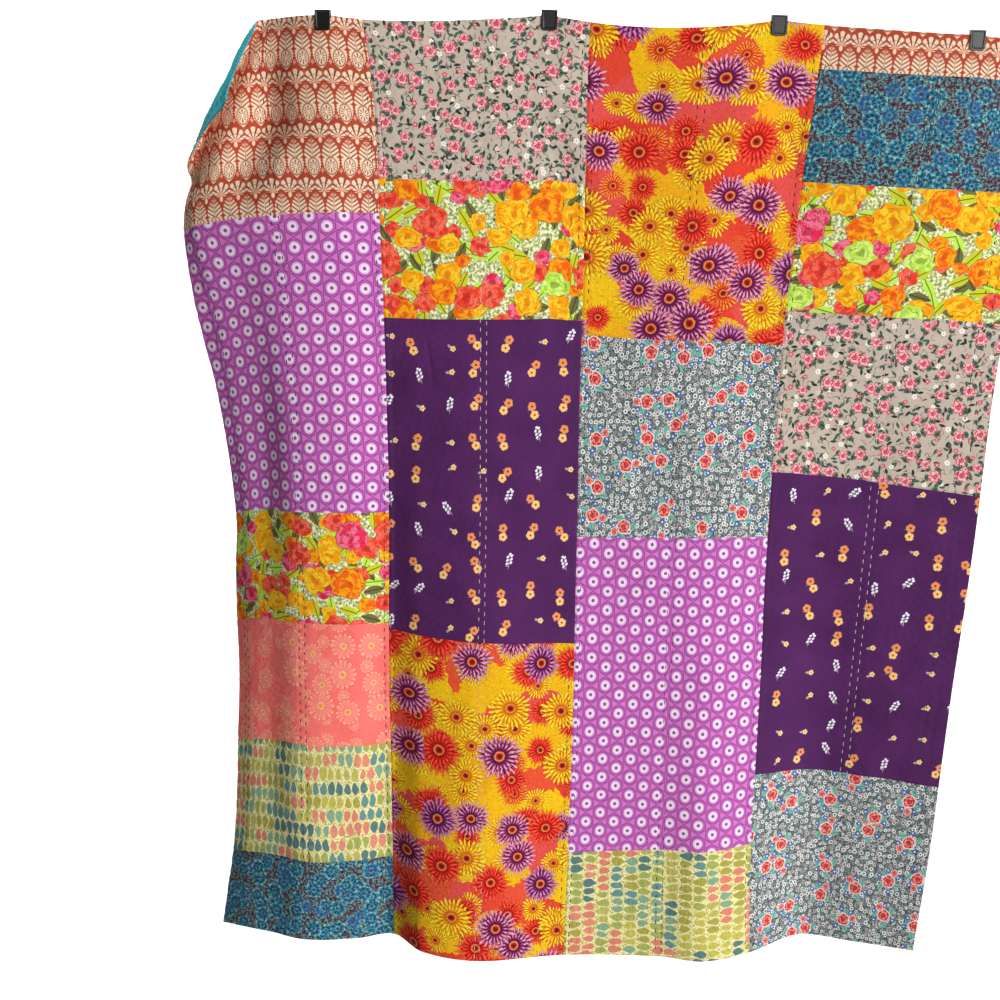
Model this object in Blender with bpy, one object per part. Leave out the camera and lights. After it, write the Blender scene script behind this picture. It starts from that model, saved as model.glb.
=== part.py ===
"""A patchwork kantha quilt, hanging flat from four plain clips along its top edge.

The quilt is two layers of cotton, a patchwork top and a plain backing, that hang as one sheet.
The sheet is described by where each point of the flat cloth comes to lie. A point of the flat
cloth is given by its distance across, from the left hem, and its distance down, from the top hem.
Two tables say where the cloth's guide lines (its seams, fold lines and hems) run at each level.

The origin is at the middle of the top edge. +X is to the right, the patchwork faces -Y, +Z is up.
All sizes in the tables are in millimetres.
"""
import math

import bmesh
import bpy
from mathutils import Matrix, Vector

MM = 0.001

# The flat quilt.
FLAT_WIDTH = 1345.0
FLAT_LENGTH = 1520.0
TOP_THICKNESS = 1.2
BACKING_THICKNESS = 1.0
LAYER_GAP = 0.3

# Guide lines that run down the cloth, and their distance across the flat quilt.
GUIDES = {
    "hem": 0,          # left hem
    "turn": 42,        # where the left strip turns back
    "strip": 100,      # middle of the left strip, which hangs back
    "shoulder": 167,   # front of the long fold in the first column
    "panel": 262,      # under the first clip
    "seam_12": 330,    # seam between the first and second columns
    "swell_2": 390,    # left flank of the swell in the second column
    "middle_2": 495,
    "seam_23": 660,
    "middle_3": 835,
    "crest_3": 915,    # foremost line of the third column
    "seam_34": 1008,
    "valley_4": 1120,
    "lap_4": 1235,
    "right": 1345,     # right hem
}

# How far each guide line lies to the right of the origin, level by level.
SIDEWAYS_COLUMNS = (
    "down", "hem", "turn", "strip", "shoulder", "seam_12", "seam_23", "seam_34", "right")
SIDEWAYS = (
    (0, -660, -648, -622, -577, -421, -80, 271, 609),
    (60, -682, -666, -630, -581, -411, -81, 267, 608),
    (130, -693, -676, -638, -576, -403, -81, 262, 606),
    (210, -697, -680, -638, -568, -397, -80, 255, 600),
    (250, -710, -690, -638, -564, -396, -80, 252, 596),
    (300, -715, -690, -633, -560, -394, -79, 249, 592),
    (420, -700, -660, -608, -547, -388, -78, 240, 578),
    (560, -670, -639, -591, -537, -383, -78, 235, 566),
    (760, -645, -622, -579, -528, -378, -76, 231, 558),
    (900, -650, -624, -581, -526, -378, -75, 231, 552),
    (1040, -644, -618, -577, -524, -377, -74, 232, 544),
    (1180, -647, -619, -577, -523, -374, -74, 231, 537),
    (1340, -655, -625, -578, -521, -371, -75, 231, 529),
    (1520, -680, -643, -583, -517, -368, -77, 238, 515),
)

# How far each guide line lies in front of the hanging line, level by level.
FORWARD_COLUMNS = (
    "down", "hem", "turn", "strip", "shoulder", "panel", "seam_12", "swell_2", "middle_2",
    "seam_23", "middle_3", "crest_3", "seam_34", "valley_4", "lap_4", "right")
FORWARD = (
    (0, -200, -165, -110, -52, 0, 0, 2, 4, 0, 10, 3, -2, 6, 0, -12),
    (60, -160, -125, -80, -32, 0, 0, 3, 5, 0, 12, 4, -4, 8, 2, -15),
    (130, -125, -92, -52, -18, 2, 0, 3, 6, 0, 12, 4, -5, 8, 4, -14),
    (210, -100, -66, -36, -12, 4, 0, 4, 6, 0, 10, 3, -6, 8, 6, -8),
    (300, -96, -68, -40, -12, 4, 0, 4, 8, 0, 8, 2, -6, 7, 8, 0),
    (420, -106, -78, -50, -14, 4, 0, 6, 12, 2, 8, 3, -6, 5, 9, 8),
    (560, -115, -90, -60, -16, 3, -2, 9, 18, 5, 10, 6, -4, 0, 8, 14),
    (760, -125, -98, -68, -20, 0, -7, 12, 27, 10, 16, 14, 0, -8, 5, 16),
    (900, -140, -108, -72, -25, -4, -12, 14, 35, 15, 20, 22, 4, -14, 1, 14),
    (1040, -130, -100, -68, -24, -8, -17, 16, 40, 20, 24, 30, 8, -20, -3, 12),
    (1180, -122, -95, -65, -22, -12, -23, 18, 44, 22, 28, 38, 12, -26, -6, 13),
    (1340, -120, -92, -62, -22, -18, -31, 19, 47, 25, 32, 46, 18, -32, -10, 15),
    (1520, -130, -98, -60, -25, -26, -40, 20, 48, 28, 37, 55, 23, -37, -13, 17),
)

# Height of the top edge and of the hem, along the cloth.
EDGE_COLUMNS = ("guide", "top", "bottom")
EDGES = (
    ("hem", -37, -1555),
    ("turn", -28, -1545),
    ("strip", -18, -1535),
    ("shoulder", -11, -1529),
    ("panel", -7, -1525),
    ("seam_12", -6, -1523),
    ("middle_2", -1, -1522),
    ("seam_23", 0, -1518),
    ("middle_3", 0, -1512),
    ("seam_34", -2, -1509),
    ("valley_4", -7, -1506),
    ("lap_4", -16, -1505),
    ("right", -26, -1503),
)

# The clips, and how deep the edge sags between each one and the next.
CLIP_COLUMNS = ("name", "across", "sag_to_next")
CLIPS = (
    ("clip_1", 268, 10),
    ("clip_2", 600, 16),
    ("clip_3", 941, 6),
    ("clip_4", 1237, 0),
)
SAG_FADE = 420.0

# Soft folds across the sheet: a straight run between two points of the flat cloth.
# A ridge stands forward by its rise, a trough has a negative rise.
# Columns: from across, from down, to across, to down, half width, rise.
FOLDS = (
    (166, -110, 172, 205, 62, -30),
    (205, 90, 100, 270, 55, -24),
    (300, 25, 235, 330, 55, 7),
    (610, 35, 700, 300, 60, 8),
    (930, 35, 860, 260, 60, 7),
    (960, 40, 1015, 330, 50, -7),
    (1230, 40, 1180, 420, 70, 8),
    (840, 600, 760, 760, 45, -6),
)

# The top left corner is folded forward over the patchwork, along a slanting line.
CORNER_ALONG_TOP = 179.0
CORNER_ALONG_SIDE = 229.0
CORNER_CLEAR_REACH = 75.0  # the soft folds fade out over this distance from the fold line
CORNER_BEND_RADIUS = 8.0
CORNER_BEND_ANGLE = math.radians(158)

# Clip sizes.
CLIP_WIDTH = 24.0
CLIP_JAW = 2.6
CLIP_CLOTH_CLEARANCE = 0.4
CLIP_REACH = 22.0
CLIP_BRIDGE = 6.0
CLIP_BRIDGE_ABOVE_EDGE = 2.0
CLIP_CORNER = 5.0
CLIP_CORNER_FACETS = 4
CLIP_EDGE_BEVEL = 0.5
CLIP_WINDOW_MARGIN = 3.5
CLIP_WINDOW_SLOPE = 0.6
CLIP_WINDOW_DEPTH = 0.7
CLIP_GRIP_MARGIN = 2.0
TIP_LEVEL = -0.9 * CLIP_REACH
GRIP_HALF_WIDTH = 0.5 * CLIP_WIDTH + CLIP_GRIP_MARGIN
GRIP_FADE = 60.0

# Grid of the sheet.
CORNER_STEP = 20.0
CORNER_BAND = (28.0, 21.0, 14.0, 7.0, 0.0)
CORNER_BAND_ROOM = 36.0
CORNER_LINE_LEAST = 12.0
CORNER_LINE_REST = 60.0
STRIP_SHARES = (0.2, 0.4, 0.6, 0.8)
ACROSS_STEP = 48.0
DOWN_STEP = 95.0
TANGENT_STEP = 2.0

PATCHWORK_COLOUR = (0.45, 0.16, 0.26)
BACKING_COLOUR = (0.0, 0.30, 0.33)
CLIP_COLOUR = (0.012, 0.012, 0.014)
CLOTH_ROUGHNESS = 0.9
CLIP_ROUGHNESS = 0.4


def columns_of(names, rows):
    """Turn a table into one list for each named column."""
    return {name: [row[index] for row in rows] for index, name in enumerate(names)}


def smooth(knots, values, at):
    """Value at a place between knots, on a smooth curve through all of them."""
    last = len(knots) - 1
    span = 0
    while span < last - 1 and at > knots[span + 1]:
        span += 1

    def slope(index):
        before = max(index - 1, 0)
        after = min(index + 1, last)
        return (values[after] - values[before]) / (knots[after] - knots[before])

    width = knots[span + 1] - knots[span]
    t = (at - knots[span]) / width
    return (values[span] * (1 + 2 * t) * (1 - t) ** 2
            + values[span + 1] * t * t * (3 - 2 * t)
            + slope(span) * width * t * (1 - t) ** 2
            - slope(span + 1) * width * t * t * (1 - t))


def guide_values(names, table, down):
    """Places across the cloth of the named guide lines, and their values at one level."""
    knots = [GUIDES[name] for name in names]
    values = [smooth(table["down"], table[name], down) for name in names]
    return knots, values


SIDEWAYS_TABLE = columns_of(SIDEWAYS_COLUMNS, SIDEWAYS)
FORWARD_TABLE = columns_of(FORWARD_COLUMNS, FORWARD)
EDGE_TABLE = columns_of(EDGE_COLUMNS, EDGES)
EDGE_KNOTS = [GUIDES[name] for name in EDGE_TABLE["guide"]]
CLIP_TABLE = columns_of(CLIP_COLUMNS, CLIPS)


def sag(across):
    """Depth to which the top edge sags between two clips."""
    places = CLIP_TABLE["across"]
    for place, next_place, depth in zip(places, places[1:], CLIP_TABLE["sag_to_next"]):
        if place <= across <= next_place:
            t = (across - place) / (next_place - place)
            return 4 * depth * t * (1 - t)
    return 0.0


def height(across, down):
    """Height of a point: its share of the way from the top edge to the hem, less the sag."""
    top = smooth(EDGE_KNOTS, EDGE_TABLE["top"], across)
    bottom = smooth(EDGE_KNOTS, EDGE_TABLE["bottom"], across)
    share = down / FLAT_LENGTH
    return top + (bottom - top) * share - sag(across) * math.exp(-down / SAG_FADE)


def fold_rise(across, down):
    """How far the soft folds carry a point forward."""
    total = 0.0
    for from_across, from_down, to_across, to_down, half_width, rise in FOLDS:
        run = Vector((to_across - from_across, to_down - from_down))
        offset = Vector((across - from_across, down - from_down))
        along = offset.dot(run) / run.length_squared
        aside = (offset - run * along).length / half_width
        if 0.0 < along < 1.0 and aside < 1.0:
            total += rise * math.sin(math.pi * along) * math.cos(0.5 * math.pi * aside) ** 2
    return total


def plumbed(across, down):
    """The level whose folds a point follows: by a clip, the gripped cloth hangs plumb."""
    nearest = min(abs(across - clip_across) for clip_across in CLIP_TABLE["across"])
    reach = CLIP_REACH + CLIP_GRIP_MARGIN
    if down >= reach:
        return down
    hold = min(max((GRIP_FADE - nearest) / (GRIP_FADE - GRIP_HALF_WIDTH), 0.0), 1.0)
    return down + (reach - down) * hold


def past_corner_fold(across, down):
    """How far a point of the flat cloth lies beyond the fold line of the corner."""
    slope = math.hypot(1 / CORNER_ALONG_TOP, 1 / CORNER_ALONG_SIDE)
    return (1 - across / CORNER_ALONG_TOP - down / CORNER_ALONG_SIDE) / slope


def clear_of_corner(across, down):
    """0 at the fold line of the corner and beyond it, rising to 1 away from it."""
    clear = min(max(-past_corner_fold(across, down) / CORNER_CLEAR_REACH, 0.0), 1.0)
    return clear * clear * (3 - 2 * clear)


def sheet_place(across, down):
    """Where a point of the cloth would hang if its top left corner weren't folded forward."""
    drop = height(across, down)
    down = plumbed(across, down)
    sideways = smooth(*guide_values(SIDEWAYS_COLUMNS[1:], SIDEWAYS_TABLE, down), across)
    forward = smooth(*guide_values(FORWARD_COLUMNS[1:], FORWARD_TABLE, down), across)
    forward += fold_rise(across, down) * clear_of_corner(across, down)
    return Vector((sideways, -forward, drop))


def place(across, down):
    """Where a point of the flat cloth hangs."""
    beyond = past_corner_fold(across, down)
    if beyond <= 0.0:
        return sheet_place(across, down)
    fold_length = math.hypot(CORNER_ALONG_TOP, CORNER_ALONG_SIDE)
    inward_across = CORNER_ALONG_SIDE / fold_length
    inward_down = CORNER_ALONG_TOP / fold_length
    fold_across = across + beyond * inward_across
    fold_down = down + beyond * inward_down
    start = sheet_place(fold_across, fold_down)
    inner = sheet_place(fold_across + TANGENT_STEP * inward_across,
                        fold_down + TANGENT_STEP * inward_down)
    outward = (start - inner).normalized()
    forward = sheet_normal(fold_across, fold_down)
    angle = min(beyond / CORNER_BEND_RADIUS, CORNER_BEND_ANGLE)
    flat_run = beyond - angle * CORNER_BEND_RADIUS
    return (start
            + outward * (CORNER_BEND_RADIUS * math.sin(angle) + flat_run * math.cos(angle))
            + forward * (CORNER_BEND_RADIUS * (1 - math.cos(angle)) + flat_run * math.sin(angle)))


def sheet_normal(across, down):
    """Direction in which the patchwork would face without the folded corner."""
    return facing(sheet_place, across, down)


def front_normal(across, down):
    """Direction in which the patchwork faces."""
    return facing(place, across, down)


def facing(place_of, across, down):
    """Direction in which the front faces of a surface that lays flat cloth in space."""
    left = max(across - TANGENT_STEP, 0.0)
    right = min(across + TANGENT_STEP, FLAT_WIDTH)
    above = max(down - TANGENT_STEP, 0.0)
    below = min(down + TANGENT_STEP, FLAT_LENGTH)
    run_across = place_of(right, down) - place_of(left, down)
    run_down = place_of(across, below) - place_of(across, above)
    return run_down.cross(run_across).normalized()


def subdivided(stops, step_for):
    """Fill the stretches between stops with even steps no longer than allowed."""
    stations = [stops[0]]
    for start, end in zip(stops, stops[1:]):
        count = math.ceil((end - start) / step_for(start) - 1e-6)
        stations += [start + (end - start) * (n + 1) / count for n in range(count)]
    return stations


def corner_line(down):
    """Place of the grid line that follows the fold of the corner, and swings out again below it."""
    on_fold = CORNER_ALONG_TOP * (1 - down / CORNER_ALONG_SIDE)
    below = CORNER_LINE_REST * min(down / CORNER_ALONG_SIDE - 1, 1.0)
    return max(on_fold, below, CORNER_LINE_LEAST)


def fixed_stations():
    """Grid lines that run straight down the flat cloth, from the first clip to the right hem."""
    stops = {stop for stop in GUIDES.values() if stop > GUIDES["shoulder"]}
    for clip_across in CLIP_TABLE["across"]:
        stops = {stop for stop in stops if abs(stop - clip_across) > GRIP_HALF_WIDTH}
        stops |= {clip_across - GRIP_HALF_WIDTH, clip_across + GRIP_HALF_WIDTH}
    return subdivided(sorted(stops), lambda at: ACROSS_STEP)


def across_stations(down):
    """Where the grid lines cross one level of the flat cloth."""
    fold = corner_line(down)
    room = min(fold / CORNER_BAND_ROOM, 1.0)
    corner = [0.0] + [fold - offset * room for offset in CORNER_BAND]
    fixed = fixed_stations()
    strip = [fold + (fixed[0] - fold) * share for share in STRIP_SHARES]
    return corner + strip + fixed


def down_stations():
    """Levels of the grid, closer together beside the folded corner."""
    stops = [SIDEWAYS_TABLE["down"][0], CLIP_REACH + CLIP_GRIP_MARGIN]
    stops += SIDEWAYS_TABLE["down"][1:]
    corner_end = CORNER_ALONG_SIDE - CORNER_STEP
    return subdivided(stops, lambda at: CORNER_STEP if at < corner_end else DOWN_STEP)


def make_material(name, colour, roughness):
    material = bpy.data.materials.new(name)
    material.use_nodes = True
    shader = material.node_tree.nodes["Principled BSDF"]
    shader.inputs["Base Color"].default_value = (*colour, 1.0)
    shader.inputs["Roughness"].default_value = roughness
    material.diffuse_color = (*colour, 1.0)
    return material


def add_object(name, mesh_builder, material):
    mesh = bpy.data.meshes.new(name)
    mesh_builder.to_mesh(mesh)
    mesh_builder.free()
    mesh.materials.append(material)
    piece = bpy.data.objects.new(name, mesh)
    bpy.context.scene.collection.objects.link(piece)
    return piece


def sheet_side(builder, points, normals, offset):
    """One side of a layer: a grid of vertices at an even distance from the middle of the quilt."""
    return [[builder.verts.new((point + normal * offset) * MM)
             for point, normal in zip(point_column, normal_column)]
            for point_column, normal_column in zip(points, normals)]


def skin(builder, side, faces_front):
    """Cover one side of a layer with triangles."""
    for left, right in zip(side, side[1:]):
        for row in range(len(left) - 1):
            a, b, c, d = left[row], left[row + 1], right[row + 1], right[row]
            triangles = ((a, b, c), (a, c, d)) if faces_front else ((a, c, b), (a, d, c))
            for triangle in triangles:
                builder.faces.new(triangle)


def rim(builder, front, back):
    """Close the edge between the two sides of a layer, once around it."""
    last_row = len(front[0]) - 1
    last_column = len(front) - 1
    around = [(0, row) for row in range(last_row)]
    around += [(column, last_row) for column in range(last_column)]
    around += [(last_column, row) for row in range(last_row, 0, -1)]
    around += [(column, 0) for column in range(last_column, 0, -1)]
    for (i, j), (m, n) in zip(around, around[1:] + around[:1]):
        builder.faces.new((front[m][n], front[i][j], back[i][j]))
        builder.faces.new((front[m][n], back[i][j], back[m][n]))


def make_layer(name, points, normals, front_offset, back_offset, material):
    """A closed sheet between two offsets from the middle of the quilt."""
    builder = bmesh.new()
    front = sheet_side(builder, points, normals, front_offset)
    back = sheet_side(builder, points, normals, back_offset)
    skin(builder, front, True)
    skin(builder, back, False)
    rim(builder, front, back)
    layer = add_object(name, builder, material)
    layer.data.shade_smooth()
    return layer


def make_quilt():
    """Both layers of cloth, on one grid."""
    grid = [[(across, down) for across in across_stations(down)] for down in down_stations()]
    points = [[place(*spot) for spot in column] for column in zip(*grid)]
    normals = [[front_normal(*spot) for spot in column] for column in zip(*grid)]
    half_gap = 0.5 * LAYER_GAP
    make_layer("quilt_top", points, normals, half_gap + TOP_THICKNESS, half_gap,
               make_material("patchwork_cotton", PATCHWORK_COLOUR, CLOTH_ROUGHNESS))
    make_layer("quilt_backing", points, normals, -half_gap, -half_gap - BACKING_THICKNESS,
               make_material("backing_cotton", BACKING_COLOUR, CLOTH_ROUGHNESS))


def clip_builder():
    """A clip in its own frame: its width along X, its front jaw at -Y, the cloth's edge at Z = 0."""
    front_slot = 0.5 * LAYER_GAP + TOP_THICKNESS + CLIP_CLOTH_CLEARANCE
    back_slot = 0.5 * LAYER_GAP + BACKING_THICKNESS + CLIP_CLOTH_CLEARANCE
    ceiling = CLIP_BRIDGE_ABOVE_EDGE
    top = ceiling + CLIP_BRIDGE
    profile = (
        (-front_slot - CLIP_JAW, top), (-front_slot - CLIP_JAW, -CLIP_REACH),
        (-front_slot, -CLIP_REACH), (-front_slot, ceiling),
        (back_slot, ceiling), (back_slot, -CLIP_REACH),
        (back_slot + CLIP_JAW, -CLIP_REACH), (back_slot + CLIP_JAW, top))
    builder = bmesh.new()
    corners = [builder.verts.new((-0.5 * CLIP_WIDTH, y, z)) for y, z in profile]
    side = builder.faces.new(corners)
    pushed = bmesh.ops.extrude_face_region(builder, geom=[side])
    moved = [item for item in pushed["geom"] if isinstance(item, bmesh.types.BMVert)]
    bmesh.ops.translate(builder, verts=moved, vec=(CLIP_WIDTH, 0.0, 0.0))
    bmesh.ops.recalc_face_normals(builder, faces=builder.faces)
    round_jaw_tips(builder)
    sink_window(builder)
    return builder


def round_jaw_tips(builder):
    """Round the lower corners of both jaws, as seen from the front."""
    tips = [edge for edge in builder.edges
            if all(vert.co.z < TIP_LEVEL for vert in edge.verts)
            and abs(edge.verts[0].co.y - edge.verts[1].co.y) > 0.5 * CLIP_JAW]
    bmesh.ops.bevel(builder, geom=tips, offset=CLIP_CORNER, segments=CLIP_CORNER_FACETS,
                    profile=0.5, affect="EDGES")


def sink_window(builder):
    """Sink a shallow panel into the front of the clip."""
    front = min(builder.faces, key=lambda face: face.calc_center_median().y)
    bmesh.ops.inset_region(builder, faces=[front], thickness=CLIP_WINDOW_MARGIN)
    bmesh.ops.inset_region(builder, faces=[front], thickness=CLIP_WINDOW_SLOPE,
                             depth=-CLIP_WINDOW_DEPTH)


def make_clip(name, across, material):
    """A clip that grips the top edge of the cloth, square to it and upright."""
    left = place(across - GRIP_HALF_WIDTH, 0.0)
    right = place(across + GRIP_HALF_WIDTH, 0.0)
    run = right - left
    centre = 0.5 * (left + right)
    yaw = Matrix.Rotation(math.atan2(run.y, run.x), 4, "Z")
    builder = clip_builder()
    builder.transform(Matrix.Scale(MM, 4))
    clip = add_object(name, builder, material)
    edge_height = place(across, 0.0).z
    clip.matrix_world = Matrix.Translation(Vector((centre.x, centre.y, edge_height)) * MM) @ yaw
    edges = clip.modifiers.new("soft edges", "BEVEL")
    edges.width = CLIP_EDGE_BEVEL * MM
    edges.segments = 1
    edges.limit_method = "ANGLE"
    return clip


def make_clips():
    material = make_material("clip_black", CLIP_COLOUR, CLIP_ROUGHNESS)
    for name, across in zip(CLIP_TABLE["name"], CLIP_TABLE["across"]):
        make_clip(name, across, material)


def clear_scene():
    for item in list(bpy.data.objects):
        bpy.data.objects.remove(item, do_unlink=True)


clear_scene()
make_quilt()
make_clips()
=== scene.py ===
"""The looks of a patchwork kantha quilt that hangs from four clips.

The quilt is a front of four sewn columns of printed patches, a plain back and rows of running
stitch through both. A point of the flat cloth is given by its distance across, from the left
hem, and its distance down, from the top hem, in millimetres. The tables say where the cloth's
guide lines hang. The front and the back are laid along that sheet, and the prints are worked
out by shader nodes from a UV map in the cloth's own metres.
"""
import functools
import math

import bpy
import numpy as np
from mathutils import Matrix, Vector


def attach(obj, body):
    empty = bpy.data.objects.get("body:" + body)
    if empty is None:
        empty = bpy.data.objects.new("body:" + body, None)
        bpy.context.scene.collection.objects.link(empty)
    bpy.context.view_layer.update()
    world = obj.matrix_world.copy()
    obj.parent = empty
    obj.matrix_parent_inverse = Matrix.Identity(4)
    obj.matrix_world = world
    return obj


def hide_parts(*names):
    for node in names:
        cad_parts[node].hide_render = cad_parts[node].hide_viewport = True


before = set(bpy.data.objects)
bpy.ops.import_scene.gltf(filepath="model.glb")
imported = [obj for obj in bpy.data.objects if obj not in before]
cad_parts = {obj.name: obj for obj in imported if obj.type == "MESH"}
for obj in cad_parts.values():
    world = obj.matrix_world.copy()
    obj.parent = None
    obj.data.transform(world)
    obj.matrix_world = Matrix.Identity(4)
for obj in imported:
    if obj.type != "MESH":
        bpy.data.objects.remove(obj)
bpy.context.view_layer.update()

MM = 0.001

# ---------------------------------------------------------------- the hanging sheet

FLAT_WIDTH = 1345.0
FLAT_LENGTH = 1520.0
TOP_THICKNESS = 1.2
BACKING_THICKNESS = 1.0
LAYER_GAP = 0.3
FRONT_OFFSET = 0.5 * LAYER_GAP + TOP_THICKNESS
BACK_OFFSET = 0.5 * LAYER_GAP + BACKING_THICKNESS

# Guide lines that run down the cloth, and their distance across the flat quilt.
GUIDES = {
    "hem": 0,          # left hem
    "turn": 42,        # where the left strip turns back
    "strip": 100,      # middle of the left strip, which hangs back
    "shoulder": 167,   # front of the long fold in the first column
    "panel": 262,      # close to the first clip
    "seam_12": 330,    # seam between the first and second columns
    "swell_2": 390,    # left flank of the swell in the second column
    "middle_2": 495,   # middle of the second column
    "seam_23": 660,    # seam between the second and third columns
    "middle_3": 835,   # middle of the third column
    "crest_3": 915,    # foremost line of the third column
    "seam_34": 1008,   # seam between the third and fourth columns
    "valley_4": 1120,  # hollow of the fourth column
    "lap_4": 1235,     # soft fold beside that hollow
    "right": 1345,     # right hem
}

# How far each guide line lies to the right of the origin, level by level.
SIDEWAYS_COLUMNS = (
    "down", "hem", "turn", "strip", "shoulder", "seam_12", "seam_23", "seam_34", "right")
SIDEWAYS = (
    (0, -660, -648, -622, -577, -421, -80, 271, 609),
    (60, -682, -666, -630, -581, -411, -81, 267, 608),
    (130, -693, -676, -638, -576, -403, -81, 262, 606),
    (210, -697, -680, -638, -568, -397, -80, 255, 600),
    (250, -710, -690, -638, -564, -396, -80, 252, 596),
    (300, -715, -690, -633, -560, -394, -79, 249, 592),
    (420, -700, -660, -608, -547, -388, -78, 240, 578),
    (560, -670, -639, -591, -537, -383, -78, 235, 566),
    (760, -645, -622, -579, -528, -378, -76, 231, 558),
    (900, -650, -624, -581, -526, -378, -75, 231, 552),
    (1040, -644, -618, -577, -524, -377, -74, 232, 544),
    (1180, -647, -619, -577, -523, -374, -74, 231, 537),
    (1340, -655, -625, -578, -521, -371, -75, 231, 529),
    (1520, -680, -643, -583, -517, -368, -77, 238, 515),
)

# How far each guide line lies in front of the hanging line, level by level.
FORWARD_COLUMNS = (
    "down", "hem", "turn", "strip", "shoulder", "panel", "seam_12", "swell_2", "middle_2",
    "seam_23", "middle_3", "crest_3", "seam_34", "valley_4", "lap_4", "right")
FORWARD = (
    (0, -200, -165, -110, -52, 0, 0, 2, 4, 0, 10, 3, -2, 6, 0, -12),
    (60, -160, -125, -80, -32, 0, 0, 3, 5, 0, 12, 4, -4, 8, 2, -15),
    (130, -125, -92, -52, -18, 2, 0, 3, 6, 0, 12, 4, -5, 8, 4, -14),
    (210, -100, -66, -36, -12, 4, 0, 4, 6, 0, 10, 3, -6, 8, 6, -8),
    (300, -96, -68, -40, -12, 4, 0, 4, 8, 0, 8, 2, -6, 7, 8, 0),
    (420, -106, -78, -50, -14, 4, 0, 6, 12, 2, 8, 3, -6, 5, 9, 8),
    (560, -115, -90, -60, -16, 3, -2, 9, 18, 5, 10, 6, -4, 0, 8, 14),
    (760, -125, -98, -68, -20, 0, -7, 12, 27, 10, 16, 14, 0, -8, 5, 16),
    (900, -140, -108, -72, -25, -4, -12, 14, 35, 15, 20, 22, 4, -14, 1, 14),
    (1040, -130, -100, -68, -24, -8, -17, 16, 40, 20, 24, 30, 8, -20, -3, 12),
    (1180, -122, -95, -65, -22, -12, -23, 18, 44, 22, 28, 38, 12, -26, -6, 13),
    (1340, -120, -92, -62, -22, -18, -31, 19, 47, 25, 32, 46, 18, -32, -10, 15),
    (1520, -130, -98, -60, -25, -26, -40, 20, 48, 28, 37, 55, 23, -37, -13, 17),
)

# Height of the top edge and of the hem, along the cloth.
EDGE_COLUMNS = ("guide", "top", "bottom")
EDGES = (
    ("hem", -37, -1555),
    ("turn", -28, -1545),
    ("strip", -18, -1535),
    ("shoulder", -11, -1529),
    ("panel", -7, -1525),
    ("seam_12", -6, -1523),
    ("middle_2", -1, -1522),
    ("seam_23", 0, -1518),
    ("middle_3", 0, -1512),
    ("seam_34", -2, -1509),
    ("valley_4", -7, -1506),
    ("lap_4", -16, -1505),
    ("right", -26, -1503),
)

# The clips, and how deep the edge sags between each one and the next.
CLIP_COLUMNS = ("name", "across", "sag_to_next")
CLIPS = (
    ("clip_1", 268, 10),
    ("clip_2", 600, 16),
    ("clip_3", 941, 6),
    ("clip_4", 1237, 0),
)
# How far down the sag is felt.
SAG_FADE = 420.0

# Soft folds across the sheet: a straight run between two points of the flat cloth.
# Columns: from across, from down, to across, to down, half width, rise.
FOLDS = (
    (166, -110, 172, 205, 62, -30),
    (205, 90, 100, 270, 55, -24),
    (300, 25, 235, 330, 55, 7),
    (610, 35, 700, 300, 60, 8),
    (930, 35, 860, 260, 60, 7),
    (960, 40, 1015, 330, 50, -7),
    (1230, 40, 1180, 420, 70, 8),
    (840, 600, 760, 760, 45, -6),
)

# The top left corner is folded forward over the patchwork, along a slanting line.
CORNER_ALONG_TOP = 179.0
CORNER_ALONG_SIDE = 229.0
CORNER_BEND_RADIUS = 8.0
CORNER_BEND_ANGLE = math.radians(158)
# The soft folds fade out within this distance of the slanting line.
CORNER_CLEAR_REACH = 75.0

# The stretch of cloth that each clip holds flat.
CLIP_REACH = 22.0
CLIP_GRIP_MARGIN = 2.0
GRIP_HALF_WIDTH = 14.0
GRIP_FADE = 60.0
# The relief rises to its full height within this distance of a clip's jaws.
RELIEF_FADE = 14.0

# Step of cloth along which a slope is measured, and between the levels of a table's curves.
TANGENT_STEP = 2.0
LEVEL_STEP = 2.0


def soft_step(t):
    """0 to 1, level at both ends."""
    return t * t * (3 - 2 * t)


def columns_of(names, rows):
    """Turn a table into one list for each named column."""
    return {name: [row[index] for row in rows] for index, name in enumerate(names)}


def smooth(knots, values, at):
    """Values at places between knots, on smooth curves through all of them.

    values holds one number for each knot, or a row of them for each place."""
    knots = np.asarray(knots, float)
    values = np.asarray(values, float)
    last = len(knots) - 1
    span = np.clip(np.searchsorted(knots, at) - 1, 0, last - 1)
    before = np.maximum(span - 1, 0)
    after = np.minimum(span + 2, last)

    def value(index):
        if values.ndim == 1:
            return values[index]
        return np.take_along_axis(values, index[..., None], -1)[..., 0]

    start = value(span)
    end = value(span + 1)
    start_slope = (end - value(before)) / (knots[span + 1] - knots[before])
    end_slope = (value(after) - start) / (knots[after] - knots[span])
    width = knots[span + 1] - knots[span]
    t = (at - knots[span]) / width
    return (start * (1 + 2 * t) * (1 - t) ** 2
            + end * t * t * (3 - 2 * t)
            + start_slope * width * t * (1 - t) ** 2
            - end_slope * width * t * t * (1 - t))


SIDEWAYS_TABLE = columns_of(SIDEWAYS_COLUMNS, SIDEWAYS)
FORWARD_TABLE = columns_of(FORWARD_COLUMNS, FORWARD)
EDGE_TABLE = columns_of(EDGE_COLUMNS, EDGES)
EDGE_KNOTS = [GUIDES[name] for name in EDGE_TABLE["guide"]]
CLIP_TABLE = columns_of(CLIP_COLUMNS, CLIPS)


def close_rows(names, table):
    """A table's values on its smooth curves at close levels, with a row for each level."""
    levels = np.arange(0.0, FLAT_LENGTH + LEVEL_STEP, LEVEL_STEP)
    return np.stack([smooth(table["down"], table[name], levels) for name in names], axis=-1)


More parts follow.
